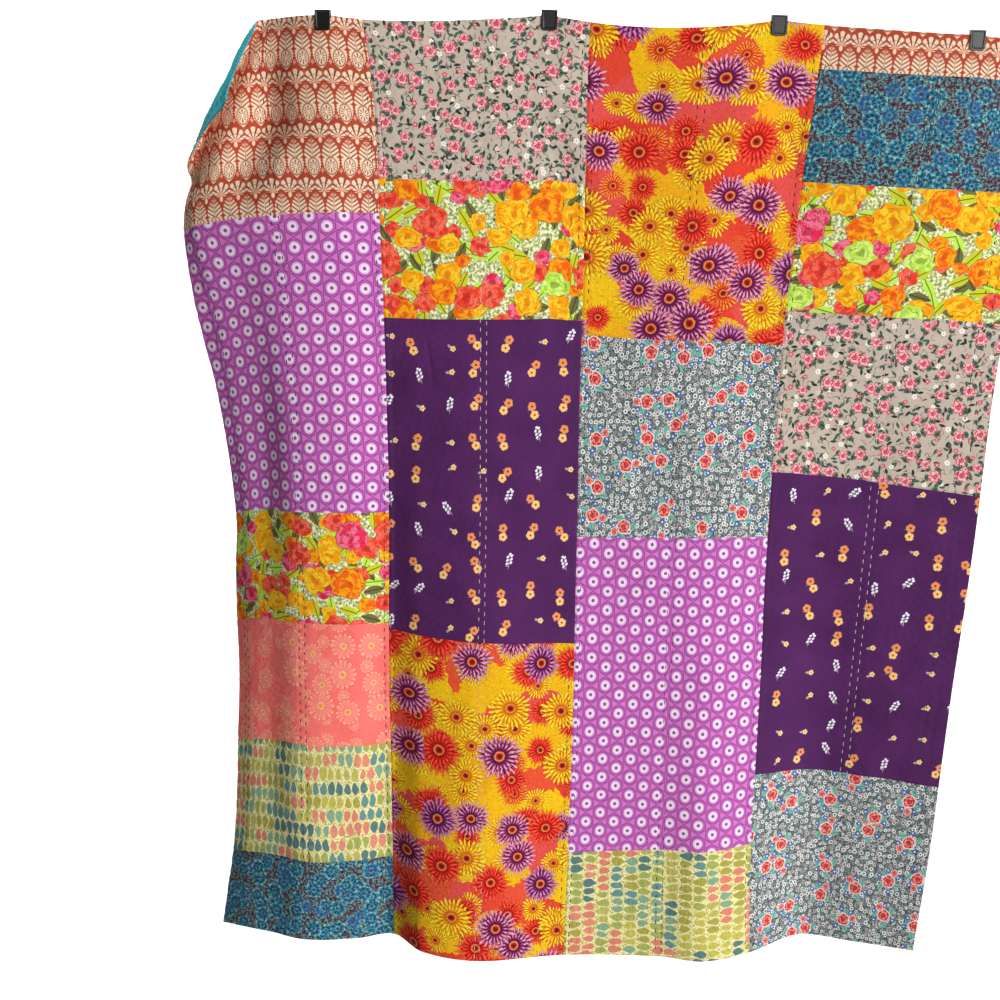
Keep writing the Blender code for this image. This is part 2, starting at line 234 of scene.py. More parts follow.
SIDEWAYS_ROWS = close_rows(SIDEWAYS_COLUMNS[1:], SIDEWAYS_TABLE)
FORWARD_ROWS = close_rows(FORWARD_COLUMNS[1:], FORWARD_TABLE)


def guided(names, rows, across, down):
    """A table's value at each point: down its columns first, then across the guide lines."""
    level = np.minimum(down / LEVEL_STEP, len(rows) - 1.001)
    upper = level.astype(int)
    share = (level - upper)[..., None]
    values = rows[upper] * (1 - share) + rows[upper + 1] * share
    return smooth([GUIDES[name] for name in names], values, across)


def sag(across):
    """Depth to which the top edge sags between two clips."""
    places = CLIP_TABLE["across"]
    total = np.zeros_like(across)
    for place_of, next_place, depth in zip(places, places[1:], CLIP_TABLE["sag_to_next"]):
        t = np.clip((across - place_of) / (next_place - place_of), 0.0, 1.0)
        total += 4 * depth * t * (1 - t)
    return total


def height(across, down):
    """Height of a point: its share of the way from the top edge to the hem, less the sag."""
    top = smooth(EDGE_KNOTS, EDGE_TABLE["top"], across)
    bottom = smooth(EDGE_KNOTS, EDGE_TABLE["bottom"], across)
    return top + (bottom - top) * down / FLAT_LENGTH - sag(across) * np.exp(-down / SAG_FADE)


def trough(across, down, run):
    """How far one soft fold carries a point forward."""
    from_across, from_down, to_across, to_down, half_width, rise = run
    run_across = to_across - from_across
    run_down = to_down - from_down
    length = math.hypot(run_across, run_down)
    along = ((across - from_across) * run_across + (down - from_down) * run_down) / length ** 2
    off_line = (across - from_across) * run_down - (down - from_down) * run_across
    aside = np.abs(off_line) / length / half_width
    within = (along > 0) & (along < 1) & (aside < 1)
    shape = np.sin(np.pi * along) * np.cos(0.5 * np.pi * np.minimum(aside, 1.0)) ** 2
    return np.where(within, rise * shape, 0.0)


def nearest_clip(across):
    """Distance along the top edge to the nearest clip."""
    return np.min([np.abs(across - clip) for clip in CLIP_TABLE["across"]], axis=0)


def plumbed(across, down):
    """The level whose folds a point follows: by a clip, the gripped cloth hangs plumb."""
    reach = CLIP_REACH + CLIP_GRIP_MARGIN
    hold = np.clip((GRIP_FADE - nearest_clip(across)) / (GRIP_FADE - GRIP_HALF_WIDTH), 0.0, 1.0)
    return down + np.maximum(reach - down, 0.0) * hold


def past_corner_fold(across, down):
    """How far points of the flat cloth lie beyond the fold line of the corner."""
    slope = math.hypot(1 / CORNER_ALONG_TOP, 1 / CORNER_ALONG_SIDE)
    return (1 - across / CORNER_ALONG_TOP - down / CORNER_ALONG_SIDE) / slope


def clear_of_corner(across, down):
    """0 at the fold line of the corner and beyond it, rising to 1 away from it."""
    return soft_step(np.clip(-past_corner_fold(across, down) / CORNER_CLEAR_REACH, 0.0, 1.0))


def sheet_place(across, down):
    """Where points of the cloth would hang if its top left corner weren't folded forward."""
    drop = height(across, down)
    down = plumbed(across, down)
    sideways = guided(SIDEWAYS_COLUMNS[1:], SIDEWAYS_ROWS, across, down)
    forward = guided(FORWARD_COLUMNS[1:], FORWARD_ROWS, across, down)
    soft_folds = sum(trough(across, down, fold) for fold in FOLDS)
    forward = forward + soft_folds * clear_of_corner(across, down)
    return np.stack((sideways, -forward, drop), axis=-1)


def unit(vectors):
    return vectors / np.linalg.norm(vectors, axis=-1, keepdims=True)


def place(across, down):
    """Where points of the flat cloth hang."""
    points = sheet_place(across, down)
    folded = past_corner_fold(across, down) > 0.0
    if folded.any():
        points[folded] = corner_place(across[folded], down[folded])
    return points


def corner_place(across, down):
    """Where points beyond the fold line of the corner lie."""
    beyond = past_corner_fold(across, down)
    fold_length = math.hypot(CORNER_ALONG_TOP, CORNER_ALONG_SIDE)
    inward_across = CORNER_ALONG_SIDE / fold_length
    inward_down = CORNER_ALONG_TOP / fold_length
    fold_across = across + beyond * inward_across
    fold_down = down + beyond * inward_down
    start = sheet_place(fold_across, fold_down)
    inner = sheet_place(fold_across + TANGENT_STEP * inward_across,
                        fold_down + TANGENT_STEP * inward_down)
    outward = unit(start - inner)
    run_across, run_down = tangents(sheet_place, fold_across, fold_down)
    forward = unit(np.cross(run_down, run_across))
    angle = np.minimum(beyond / CORNER_BEND_RADIUS, CORNER_BEND_ANGLE)
    flat_run = beyond - angle * CORNER_BEND_RADIUS
    out = CORNER_BEND_RADIUS * np.sin(angle) + flat_run * np.cos(angle)
    up = CORNER_BEND_RADIUS * (1 - np.cos(angle)) + flat_run * np.sin(angle)
    return start + outward * out[..., None] + forward * up[..., None]


def tangents(place_of, across, down):
    """How a surface that lays flat cloth in space runs across and down, for a step of cloth."""
    left = np.maximum(across - TANGENT_STEP, 0.0)
    right = np.minimum(across + TANGENT_STEP, FLAT_WIDTH)
    above = np.maximum(down - TANGENT_STEP, 0.0)
    below = np.minimum(down + TANGENT_STEP, FLAT_LENGTH)
    run_across = place_of(right, down) - place_of(left, down)
    run_down = place_of(across, below) - place_of(across, above)
    return unit(run_across), unit(run_down)


# ---------------------------------------------------------------- patches

COLUMN_EDGES = (0.0, 330.0, 660.0, 1008.0, FLAT_WIDTH)

# The patches of each column from the top: print, level of the patch's lower seam at the left
# and at the right of the column, and where the print's own origin lies and how it is turned.
PATCH_COLUMNS = (
    "print", "lower_left", "lower_right", "origin_across", "origin_down", "quarter_turns")
PATCHES = (
    (
        ("ogee", 296, 286, 2, 47, 0),
        ("medallion", 764, 762, 13, 9, 0),
        ("blossom", 953, 951, 40, 10, 0),
        ("daisy", 1166, 1163, 20, 30, 0),
        ("drops", 1376, 1374, 5, 3, 0),
        ("teal_heads", 1520, 1520, 0, 0, 0),
    ),
    (
        ("rosebud", 233, 241, 30, 60, 0),
        ("blossom", 447, 451, 210, 170, 0),
        ("sprigs", 961, 974, 22, 30, 0),
        ("gerbera", 1520, 1520, 10, 40, 0),
    ),
    (
        ("gerbera", 474, 486, 420, 300, 0),
        ("meadow", 796, 797, 40, 25, 0),
        ("medallion", 1336, 1324, 8, 17, 0),
        ("drops", 1520, 1520, 3, 9, 1),
    ),
    (
        ("ogee", 63, 60, 9, 57, 0),
        ("teal_heads", 233, 230, 130, 90, 0),
        ("blossom", 434, 431, 90, 310, 2),
        ("rosebud", 690, 710, 180, 220, 0),
        ("sprigs", 1202, 1218, 70, 12, 0),
        ("meadow", 1520, 1520, 300, 200, 0),
    ),
)

# ---------------------------------------------------------------- relief of the cloth

STITCH_PITCH = 15.4
STITCH_LENGTH = 7.2
# Each row's stitches begin this share of the pitch further down than the last row's.
ROW_PHASE_STEP = 0.37

# Rows of running stitch down the quilt: place across, thread, and how deep the row pulls in.
ROW_COLUMNS = ("across", "thread", "pull")
STITCH_ROWS = (
    (24, "dark", 0.8),
    (33, "dark", 0.8),
    (165, "dark", 0.9),
    (176, "dark", 0.9),
    (322, "dark", 0.7),
    (339, "dark", 1.1),
    (490, "pale", 0.9),
    (500, "pale", 0.9),
    (651, "dark", 0.7),
    (669, "dark", 0.7),
    (829, "dark", 0.8),
    (840, "dark", 0.8),
    (999, "dark", 0.7),
    (1017, "dark", 0.8),
    (1174, "pale", 0.9),
    (1186, "pale", 0.9),
    (1307, "dark", 0.9),
    (1322, "dark", 0.9),
)
ROW_HALF_WIDTH = 4.5
# A row pulls in by this share all along, and by the rest only under its stitches.
STEADY_PULL = 0.55
# The backing is drawn in by its rows as deep as the front is, from its own side.
BACK_ROW_SHARE = 2.0

# Small creases pressed into the cloth: from across, from down, to across, to down,
# half width, rise.
CREASES = (
    (398, 470, 412, 560, 5, -1.6),
    (350, 880, 470, 915, 8, -1.4),
    (500, 795, 640, 812, 8, -1.6),
    (505, 850, 640, 838, 10, 1.5),
    (1100, 745, 1330, 790, 10, -1.8),
    (1030, 868, 1220, 845, 9, 1.4),
    (1040, 900, 1230, 915, 12, -1.6),
    (700, 930, 790, 850, 12, -2.2),
    (760, 905, 850, 822, 10, 1.8),
    (690, 1262, 760, 1215, 9, -1.8),
    (860, 1020, 980, 1060, 12, 1.6),
    (205, 1020, 322, 990, 9, -1.6),
    (190, 1080, 320, 1062, 10, 1.4),
    (240, 1120, 318, 1098, 8, -1.4),
    (50, 420, 150, 470, 12, 1.6),
    (60, 610, 160, 585, 10, -1.6),
    (350, 330, 470, 352, 10, -1.2),
    (1120, 270, 1330, 300, 12, -1.5),
    (720, 60, 860, 96, 12, 1.4),
    (1060, 1290, 1190, 1335, 10, 1.6),
)

SEAM_DITCH = 1.1
SEAM_DITCH_HALF_WIDTH = 2.2
SEAM_ALLOWANCE = 7.0
SEAM_ALLOWANCE_RISE = 0.55
# How far a seam between patches wanders from its straight line, and in waves of what length.
SEAM_WANDER = 1.3
SEAM_WANDER_SIZE = 70.0
SEAM_WANDER_ROW = 40.0
SEAM_WANDER_APART = 90.0

# Layers of soft hills: height, size of a hill across and down, and the seed of its lattice.
WAVES = ((1.6, 95.0, 130.0, 1), (0.9, 48.0, 60.0, 2))
PUCKERS = ((0.75, 46.0, 9.5, 3), (0.45, 24.0, 6.0, 4))
# The puckers' strength from place to place: its average, and the layer that is added to it.
PUCKER_STRENGTH = 0.65
PUCKER_CHANGES = ((0.5, 170.0, 140.0, 5),)

LATTICE_SIDE = 512
# Keeps places a little outside the cloth on the lattice's positive side.
LATTICE_SHIFT = 50.0
# Seeds of the seams' wander, of the rows' own line and their stitches' lengths, of the hem
# stitches' lengths, and of the stitches' places on the front and on the back. All but the hem
# stitches' are counted on, from column to column or from row to row.
SEAM_SEED = 11
ROW_LINE_SEED = 40
ROW_LENGTH_SEED = 60
HEM_LENGTH_SEED = 77
FRONT_STITCH_SEED = 100
BACK_STITCH_SEED = 150


@functools.cache
def random_lattice(seed):
    """Heights between -1 and 1 at the corners of a square lattice."""
    return np.random.default_rng(seed).uniform(-1.0, 1.0, (LATTICE_SIDE, LATTICE_SIDE))


def eased(t):
    """0 to 1, with no slope and no curvature at either end."""
    return t * t * t * (t * (6 * t - 15) + 10)


def hills(across, down, size_across, size_down, seed):
    """Soft random relief between -1 and 1, with hills of about the given sizes."""
    lattice = random_lattice(seed)
    x = across / size_across + LATTICE_SHIFT
    y = down / size_down + LATTICE_SHIFT
    column = np.floor(x).astype(int)
    row = np.floor(y).astype(int)
    u = eased(x - column)
    v = eased(y - row)
    left, right = column % LATTICE_SIDE, (column + 1) % LATTICE_SIDE
    above, beneath = row % LATTICE_SIDE, (row + 1) % LATTICE_SIDE
    upper = lattice[left, above] * (1 - u) + lattice[right, above] * u
    lower = lattice[left, beneath] * (1 - u) + lattice[right, beneath] * u
    return upper * (1 - v) + lower * v


def layered(across, down, layers):
    """The sum of several layers of soft hills."""
    return sum(height_of * hills(across, down, *shape) for height_of, *shape in layers)


def bump(distance, half_width):
    """1 at no distance, fading to 0 beyond the half width."""
    return np.exp(-(distance / half_width) ** 2)


def patches_of(column):
    """The patches of one column, with their values by name."""
    return [dict(zip(PATCH_COLUMNS, row)) for row in PATCHES[column]]


def seam_level(column, index, across):
    """Level of the lower seam of one patch at places across its column."""
    patch = patches_of(column)[index]
    left, right = COLUMN_EDGES[column], COLUMN_EDGES[column + 1]
    t = (across - left) / (right - left)
    level = patch["lower_left"] + (patch["lower_right"] - patch["lower_left"]) * t
    if index == len(PATCHES[column]) - 1:
        return level
    own_line = np.full_like(across, SEAM_WANDER_APART * index)
    return level + SEAM_WANDER * hills(
        across, own_line, SEAM_WANDER_SIZE, SEAM_WANDER_ROW, SEAM_SEED + column)


def seam_shape(aside):
    """A seam's ditch, and the seam allowance raised on the side where aside is positive."""
    allowance = bump(aside - 0.6 * SEAM_ALLOWANCE, 0.5 * SEAM_ALLOWANCE)
    return SEAM_ALLOWANCE_RISE * allowance - SEAM_DITCH * bump(aside, SEAM_DITCH_HALF_WIDTH)


def seam_relief(across, down, column):
    """The seams between the columns, and those between the patches of one column."""
    total = sum(seam_shape(across - edge) for edge in COLUMN_EDGES[1:-1])
    for index in range(len(PATCHES[column]) - 1):
        total = total + seam_shape(seam_level(column, index, across) - down)
    return total


def row_phase(index):
    """Where along the pitch the stitches of one row begin."""
    return (ROW_PHASE_STEP * index * STITCH_PITCH) % STITCH_PITCH


def row_relief(across, down):
    """Rows of stitch draw the cloth in, most of all under each stitch."""
    total = np.zeros_like(across)
    for index, (row_across, _, pull) in enumerate(STITCH_ROWS):
        turn = 2 * np.pi * (down - row_phase(index)) / STITCH_PITCH
        depth = pull * (STEADY_PULL + (1 - STEADY_PULL) * np.cos(turn))
        total -= depth * bump(across - row_across, ROW_HALF_WIDTH)
    return total


def pucker_relief(across, down):
    """Small ripples across the cloth, where the rows of stitch gather it."""
    strength = PUCKER_STRENGTH + layered(across, down, PUCKER_CHANGES)
    return layered(across, down, PUCKERS) * strength


def cloth_relief(across, down):
    """The softer waves of the whole cloth, its creases and its puckers."""
    creases = sum(trough(across, down, crease) for crease in CREASES)
    return (layered(across, down, WAVES) + creases
            + pucker_relief(across, down) + row_relief(across, down))


def free_of_clips(across, down):
    """0 on the cloth in a clip's jaws, rising to 1 away from them."""
    aside = np.maximum(nearest_clip(across) - GRIP_HALF_WIDTH, 0.0)
    below = np.maximum(down - CLIP_REACH - CLIP_GRIP_MARGIN, 0.0)
    return soft_step(np.clip(np.hypot(aside, below) / RELIEF_FADE, 0.0, 1.0))


HEM_ROLL = 2.0
# Places past the hem, where the cloth rolls round its edge.
PAST_HEM = HEM_ROLL * np.array((0.35, 0.7, 1.0))


def onto_cloth(across, down):
    """The same places, with those past the hem brought back to it."""
    return np.clip(across, 0.0, FLAT_WIDTH), np.clip(down, 0.0, FLAT_LENGTH)


def surface(across, down, offset, relief):
    """Points of the quilt's front or back, at an offset from its middle plus the relief.

    A place beyond the hem rolls round the edge, to the middle of its thickness."""
    on_across, on_down = onto_cloth(across, down)
    over_across = across - on_across
    over_down = down - on_down
    over = np.hypot(over_across, over_down)
    angle = np.minimum(over / HEM_ROLL, 1.0) * 0.5 * np.pi
    run_across, run_down = tangents(place, on_across, on_down)
    normal = unit(np.cross(run_down, run_across))
    heading = run_across * over_across[..., None] + run_down * over_down[..., None]
    heading = heading / np.maximum(over, 1e-6)[..., None]
    lift = (offset + relief)[..., None]
    roll = abs(offset)
    return MM * (place(on_across, on_down) + normal * lift * np.cos(angle)[..., None]
                 + heading * roll * np.sin(angle)[..., None])


def column_at(across):
    """The number of the column that a place across the quilt lies in."""
    return int(np.clip(np.searchsorted(COLUMN_EDGES, across, side="right") - 1, 0, 3))


def front_surface(across, down, column, lift=0.0):
    """Points of the patchwork's face in one column, or lifted from it."""
    place_on = onto_cloth(across, down)
    relief = (cloth_relief(*place_on) + seam_relief(*place_on, column)) * free_of_clips(*place_on)
    return surface(across, down, FRONT_OFFSET, relief + lift)


def back_surface(across, down, lift=0.0):
    """Points of the backing's face, or lifted behind it."""
    place_on = onto_cloth(across, down)
    rows = BACK_ROW_SHARE * row_relief(*place_on)
    relief = (cloth_relief(*place_on) - rows) * free_of_clips(*place_on)
    return surface(across, down, -BACK_OFFSET, relief - lift)


# ---------------------------------------------------------------- meshes of the cloth

COLUMN_STEP = 3.0
SEAM_STATIONS = (0.0, 1.0, 2.2, 4.0, 6.5)
BACK_STEP = 5.2
PRINT_TURN = 0.5 * math.pi


def stations(start, end, step, fine=()):
    """Places from start to end, at fine distances from both and even steps between them."""
    near = [start + offset for offset in fine]
    far = [end - offset for offset in reversed(fine)]
    first = near[-1] if near else start
    last = far[0] if far else end
    count = max(round((last - first) / step), 1)
    even = [first + (last - first) * n / count for n in range(count + 1)]
    return np.array(near[:-1] + even + far[1:])


def with_hem(places, at_start, at_end, limit):
    """Places with a few more past the hem, where the cloth rolls round its edge."""
    before = -PAST_HEM[::-1] if at_start else np.array([])
    after = limit + PAST_HEM if at_end else np.array([])
    return np.concatenate((before, places, after))


def grid_faces(columns, rows, faces_front):
    """Faces of a grid whose points are counted down each column in turn."""
    corner = (np.arange(columns - 1)[:, None] * rows + np.arange(rows - 1)).ravel()
    order = (0, 1, rows + 1, rows) if faces_front else (0, rows, rows + 1, 1)
    return np.stack([corner + step for step in order], axis=1)


def add_mesh(name, points, faces, materials):
    """A smooth-shaded piece. faces lists the points' numbers for each face."""
    mesh = bpy.data.meshes.new(name)
    mesh.from_pydata(points.reshape(-1, 3).tolist(), [], faces)
    for material in materials:
        mesh.materials.append(material)
    mesh.shade_smooth()
    piece = bpy.data.objects.new(name, mesh)
    bpy.context.scene.collection.objects.link(piece)
    return piece


def print_place(across, down, patch):
    """Where points lie on the bolt of cloth that a patch was cut from, in millimetres."""
    x = across - patch["origin_across"]
    y = patch["origin_down"] - down
    angle = patch["quarter_turns"] * PRINT_TURN
    return (x * math.cos(angle) - y * math.sin(angle),
            x * math.sin(angle) + y * math.cos(angle))


def column_grid(column):
    """The places of a column's points, and the number of the patch that each row belongs to."""
    left, right = COLUMN_EDGES[column], COLUMN_EDGES[column + 1]
    across = with_hem(stations(left, right, COLUMN_STEP, SEAM_STATIONS),
                      column == 0, column == len(PATCHES) - 1, FLAT_WIDTH)
    last = len(PATCHES[column]) - 1
    upper = np.zeros_like(across)
    levels = []
    owners = []
    for index in range(last + 1):
        lower = seam_level(column, index, np.clip(across, left, right))
        span = float(np.mean(lower - upper))
        shares = stations(0.0, span, COLUMN_STEP, SEAM_STATIONS) / span
        kept = shares if index == 0 else shares[1:]
        levels.append(upper[:, None] + (lower - upper)[:, None] * kept)
        owners += [index] * (len(shares) - 1)
        upper = lower
    hem_above = np.tile(-PAST_HEM[::-1], (len(across), 1))
    hem_below = np.tile(FLAT_LENGTH + PAST_HEM, (len(across), 1))
    down = np.concatenate([hem_above] + levels + [hem_below], axis=1)
    owners = [0] * len(PAST_HEM) + owners + [last] * len(PAST_HEM)
    return np.broadcast_to(across[:, None], down.shape), down, owners


def make_column(column, prints):
    """One column of patches, as one sewn strip with a material for each patch."""
    patches = patches_of(column)
    across, down, owners = column_grid(column)
    faces = grid_faces(*down.shape, True)
    points = front_surface(across, down, column)
    materials = [prints[patch["print"]] for patch in patches]
    piece = add_mesh(f"patchwork_column_{column + 1}", points, faces.tolist(), materials)
    owner_of_face = np.tile(owners, down.shape[0] - 1)
    piece.data.polygons.foreach_set("material_index", owner_of_face)
    flat_x = np.empty(faces.shape)
    flat_y = np.empty(faces.shape)
    for index, patch in enumerate(patches):
        mine = owner_of_face == index
        corners = faces[mine]
        flat_x[mine], flat_y[mine] = print_place(
            across.ravel()[corners], down.ravel()[corners], patch)
    store_map(piece, flat_x, flat_y)
    return piece


def store_map(piece, flat_x, flat_y):
    """Keep the cloth's own coordinates, in metres, as the piece's UV map."""
    layer = piece.data.uv_layers.new(name="cloth")
    flat = np.stack((flat_x.ravel(), flat_y.ravel()), axis=1) * MM
    layer.data.foreach_set("uv", flat.ravel())


def make_back(material):
    """The plain backing, as one cloth."""
    across = with_hem(stations(0.0, FLAT_WIDTH, BACK_STEP), True, True, FLAT_WIDTH)
    down = with_hem(stations(0.0, FLAT_LENGTH, BACK_STEP), True, True, FLAT_LENGTH)
    across, down = np.meshgrid(across, down, indexing="ij")
    faces = grid_faces(*down.shape, False)
    points = back_surface(across, down)
    piece = add_mesh("plain_backing", points, faces.tolist(), [material])
    store_map(piece, across.ravel()[faces], -down.ravel()[faces])
    return piece


# ---------------------------------------------------------------- stitches

THREAD_HALF_WIDTH = 0.75
THREAD_HALF_HEIGHT = 0.55
THREAD_SIDES = 6
# How far a stitch wanders along its row.
STITCH_WANDER = 0.9
# The first and the last stitch of a row keep this far from the top edge and from the hem.
FIRST_STITCH_INSET = 10.0
LAST_STITCH_INSET = 5.0
# Shares of a stitch's length, how high its middle line lies there, and its thickness there.
STITCH_SECTIONS = ((-0.5, -0.5, 0.55), (-0.36, 0.15, 0.95), (0.0, 0.35, 1.0),
                   (0.36, 0.15, 0.95), (0.5, -0.5, 0.55))


def stitch_starts(index, of_back):
    """Levels of the middles of one row's stitches. Those of the back fall between the front's."""
    first = row_phase(index) + (0.5 * STITCH_PITCH if of_back else 0.0)
    wander = np.random.default_rng(index + (BACK_STITCH_SEED if of_back else FRONT_STITCH_SEED))
    middles = np.arange(first, FLAT_LENGTH - LAST_STITCH_INSET, STITCH_PITCH)
    middles = middles[middles > FIRST_STITCH_INSET]
    return middles + wander.uniform(-STITCH_WANDER, STITCH_WANDER, len(middles))


def tube_faces(rings, sides):
    """Faces of a closed tube whose points are counted round each ring in turn."""
    last = (rings - 1) * sides
    walls = [(ring + side, ring + (side + 1) % sides,
              ring + sides + (side + 1) % sides, ring + sides + side)
             for ring in range(0, last, sides) for side in range(sides)]
    return walls + [tuple(range(sides - 1, -1, -1)), tuple(last + side for side in range(sides))]


def stitch_tubes(across, down, heading, lengths, face_of):
    """Points and faces of stitches laid on a face of the quilt, each a short rounded tube.

    heading gives the flat direction (across, down) in which each stitch runs."""
    share, rise, thickness = (np.array(column)[:, None] for column in zip(*STITCH_SECTIONS))
    turns = 2 * np.pi * np.arange(THREAD_SIDES) / THREAD_SIDES
    along = lengths[:, None, None] * share
    aside = THREAD_HALF_WIDTH * thickness * np.cos(turns)
    lift = THREAD_HALF_HEIGHT * (rise + thickness * np.sin(turns))
    at_across = across[:, None, None] + heading[0] * along + heading[1] * aside
    at_down = down[:, None, None] + heading[1] * along - heading[0] * aside
    points = face_of(at_across, at_down, lift)
    one = tube_faces(len(STITCH_SECTIONS), THREAD_SIDES)
    size = len(STITCH_SECTIONS) * THREAD_SIDES
    faces = [tuple(corner + size * number for corner in face)
             for number in range(len(across)) for face in one]
    return points.reshape(-1, 3), faces


HEM_STITCH_PITCH = 6.5
HEM_STITCH_LENGTH = 2.6
HEM_STITCH_INSET = 3.2
# Hem stitches are finer than those of the rows, so they stand this share as high.
HEM_STITCH_LIFT = 0.6
# The run of hem stitches begins this far from a corner and ends this far before the next.
HEM_RUN_START = 8.0
HEM_RUN_END = 6.0
# Where the front's hem stitches end: down the left hem, and along the top edge.
FRONT_RUN_DOWN = 330.0
FRONT_RUN_ALONG = 240.0
# The back's run along each column leaves out this much at the column's two seams.
BACK_RUN_START = 6.0
BACK_RUN_END = 4.0
DOWN_THE_CLOTH = (0.0, 1.0)
ALONG_THE_HEM = (1.0, 0.0)


def join_tubes(name, bunches, material, of_back):
    """One piece of many stitches."""
    faces = []
    count = 0
    for bunch_points, bunch_faces in bunches:
        faces += [tuple(corner + count for corner in face) for face in bunch_faces]
        count += len(bunch_points)
    points = np.concatenate([bunch_points for bunch_points, _ in bunches])
    piece = add_mesh(name, points, faces, [material])
    if of_back:
        piece.data.flip_normals()
    return piece


def face_for(column, of_back, lift_share=1.0):
    """The face that a run of stitches lies on, as a function of a flat place and a lift."""
    def face_of(across, down, lift):
        if of_back:
            return back_surface(across, down, lift_share * lift)
        return front_surface(across, down, column, lift_share * lift)

    return face_of


def clear_of_jaws(across, down):
    """True for the stitches that no clip covers."""
    return (nearest_clip(across) > GRIP_HALF_WIDTH) | (down > CLIP_REACH + STITCH_LENGTH)


def make_rows(thread, material, of_back):
    """All rows of one thread, on the front or on the back."""
    bunches = []
    for index, (row_across, row_thread, _) in enumerate(STITCH_ROWS):
        if row_thread != thread:
            continue
        down = stitch_starts(index, of_back)
        across = row_across + 0.5 * hills(down, down, 60.0, 9.0, ROW_LINE_SEED + index)
        kept = clear_of_jaws(across, down)
        uneven = 0.14 * hills(down, down, 13.0, 7.0, ROW_LENGTH_SEED + index)
        lengths = STITCH_LENGTH * (1 + uneven)
        bunches.append(stitch_tubes(across[kept], down[kept], DOWN_THE_CLOTH, lengths[kept],
                                    face_for(column_at(row_across), of_back)))
    side = "back" if of_back else "front"
    return join_tubes(f"{thread}_rows_{side}", bunches, material, of_back)


def make_front_hem_stitches(material):
    """Small stitches that show on the front only near the turned corner."""
    levels = np.arange(HEM_RUN_START, FRONT_RUN_DOWN, HEM_STITCH_PITCH)
    places = np.arange(HEM_RUN_START, FRONT_RUN_ALONG, HEM_STITCH_PITCH)
    bunches = [
        hem_run(np.full_like(levels, HEM_STITCH_INSET), levels, DOWN_THE_CLOTH, False),
        hem_run(places, np.full_like(places, HEM_STITCH_INSET), ALONG_THE_HEM, False),
    ]
    return join_tubes("hem_stitches_front", bunches, material, False)


def make_back_hem_stitches(material):
    """Small stitches that close the hem, all the way round."""
    half = 0.5 * HEM_STITCH_PITCH
    levels = np.arange(HEM_RUN_START + half, FLAT_LENGTH - HEM_RUN_END, HEM_STITCH_PITCH)
    bunches = []
    for inset in (HEM_STITCH_INSET, FLAT_WIDTH - HEM_STITCH_INSET):
        bunches.append(hem_run(np.full_like(levels, inset), levels, DOWN_THE_CLOTH, True))
    for left, right in zip(COLUMN_EDGES, COLUMN_EDGES[1:]):
        places = np.arange(left + BACK_RUN_START + half, right - BACK_RUN_END, HEM_STITCH_PITCH)
        for level in (HEM_STITCH_INSET, FLAT_LENGTH - HEM_STITCH_INSET):
            kept = places[clear_of_jaws(places, np.full_like(places, level))]
            bunches.append(hem_run(kept, np.full_like(kept, level), ALONG_THE_HEM, True))
    return join_tubes("hem_stitches_back", bunches, material, True)


def hem_run(across, down, heading, of_back):
    """One straight run of small hem stitches."""
    lengths = HEM_STITCH_LENGTH * (1 + 0.2 * hills(across, down, 5.0, 5.0, HEM_LENGTH_SEED))
    face_of = face_for(column_at(across[0]), of_back, HEM_STITCH_LIFT)
    return stitch_tubes(across, down, heading, lengths, face_of)


# A loose end of thread that hangs from the middle rows of the first column.
TAIL_START = (176.0, 1352.0)
TAIL_LENGTH = 26.0
TAIL_LEAN = 6.0
TAIL_CURL = 2.5
TAIL_LIFT = 1.6
TAIL_HALF_WIDTH = 0.4
TAIL_SIDES = 6
TAIL_SECTIONS = 14


def make_thread_tail(material):
    """A short loose end that lies down the cloth in a lazy curve."""
    shares = np.linspace(0.0, 1.0, TAIL_SECTIONS)
    across = TAIL_START[0] + TAIL_LEAN * shares + TAIL_CURL * np.sin(4.5 * shares)
    down = TAIL_START[1] + TAIL_LENGTH * shares
    lift = 0.2 + TAIL_LIFT * np.sin(np.pi * shares) ** 2
    turns = 2 * np.pi * np.arange(TAIL_SIDES) / TAIL_SIDES
    at_across = across[:, None] + TAIL_HALF_WIDTH * np.cos(turns)
    at_down = np.broadcast_to(down[:, None], at_across.shape)
    up = lift[:, None] + TAIL_HALF_WIDTH * (1 + np.sin(turns))
    points = front_surface(at_across, at_down, 0, up)
    return add_mesh("loose_thread", points, tube_faces(TAIL_SECTIONS, TAIL_SIDES), [material])


# ---------------------------------------------------------------- shader nodes as arithmetic

class Field:
    """A number or colour that a shader works out at each point. Arithmetic on it adds nodes."""

    def __init__(self, socket):
        self.socket = socket
        self.tree = socket.id_data

    def __add__(self, other):
        return work("ADD", self, other)

    __radd__ = __add__

    def __sub__(self, other):
        return work("SUBTRACT", self, other)

    def __rsub__(self, other):
        return work("SUBTRACT", other, self)

    def __mul__(self, other):
        return work("MULTIPLY", self, other)

    __rmul__ = __mul__

    def __truediv__(self, other):
        return work("DIVIDE", self, other)

    def __rtruediv__(self, other):
        return work("DIVIDE", other, self)

    def __abs__(self):
        return work("ABSOLUTE", self)

    def __neg__(self):
        return work("MULTIPLY", self, -1.0)


def plug(socket, value):
    """Link a field to a socket, or set a plain value on it."""
    if isinstance(value, Field):
        socket.id_data.links.new(value.socket, socket)
    else:
        socket.default_value = value


def work(operation, *terms):
    """One Math node."""
    tree = next(term.tree for term in terms if isinstance(term, Field))
    node = tree.nodes.new("ShaderNodeMath")
    node.operation = operation
    for socket, term in zip(node.inputs, terms):
        plug(socket, term)
    return Field(node.outputs[0])


fraction = functools.partial(work, "FRACT")
whole = functools.partial(work, "FLOOR")
sine = functools.partial(work, "SINE")
cosine = functools.partial(work, "COSINE")
lesser = functools.partial(work, "MINIMUM")
greater = functools.partial(work, "MAXIMUM")
power = functools.partial(work, "POWER")


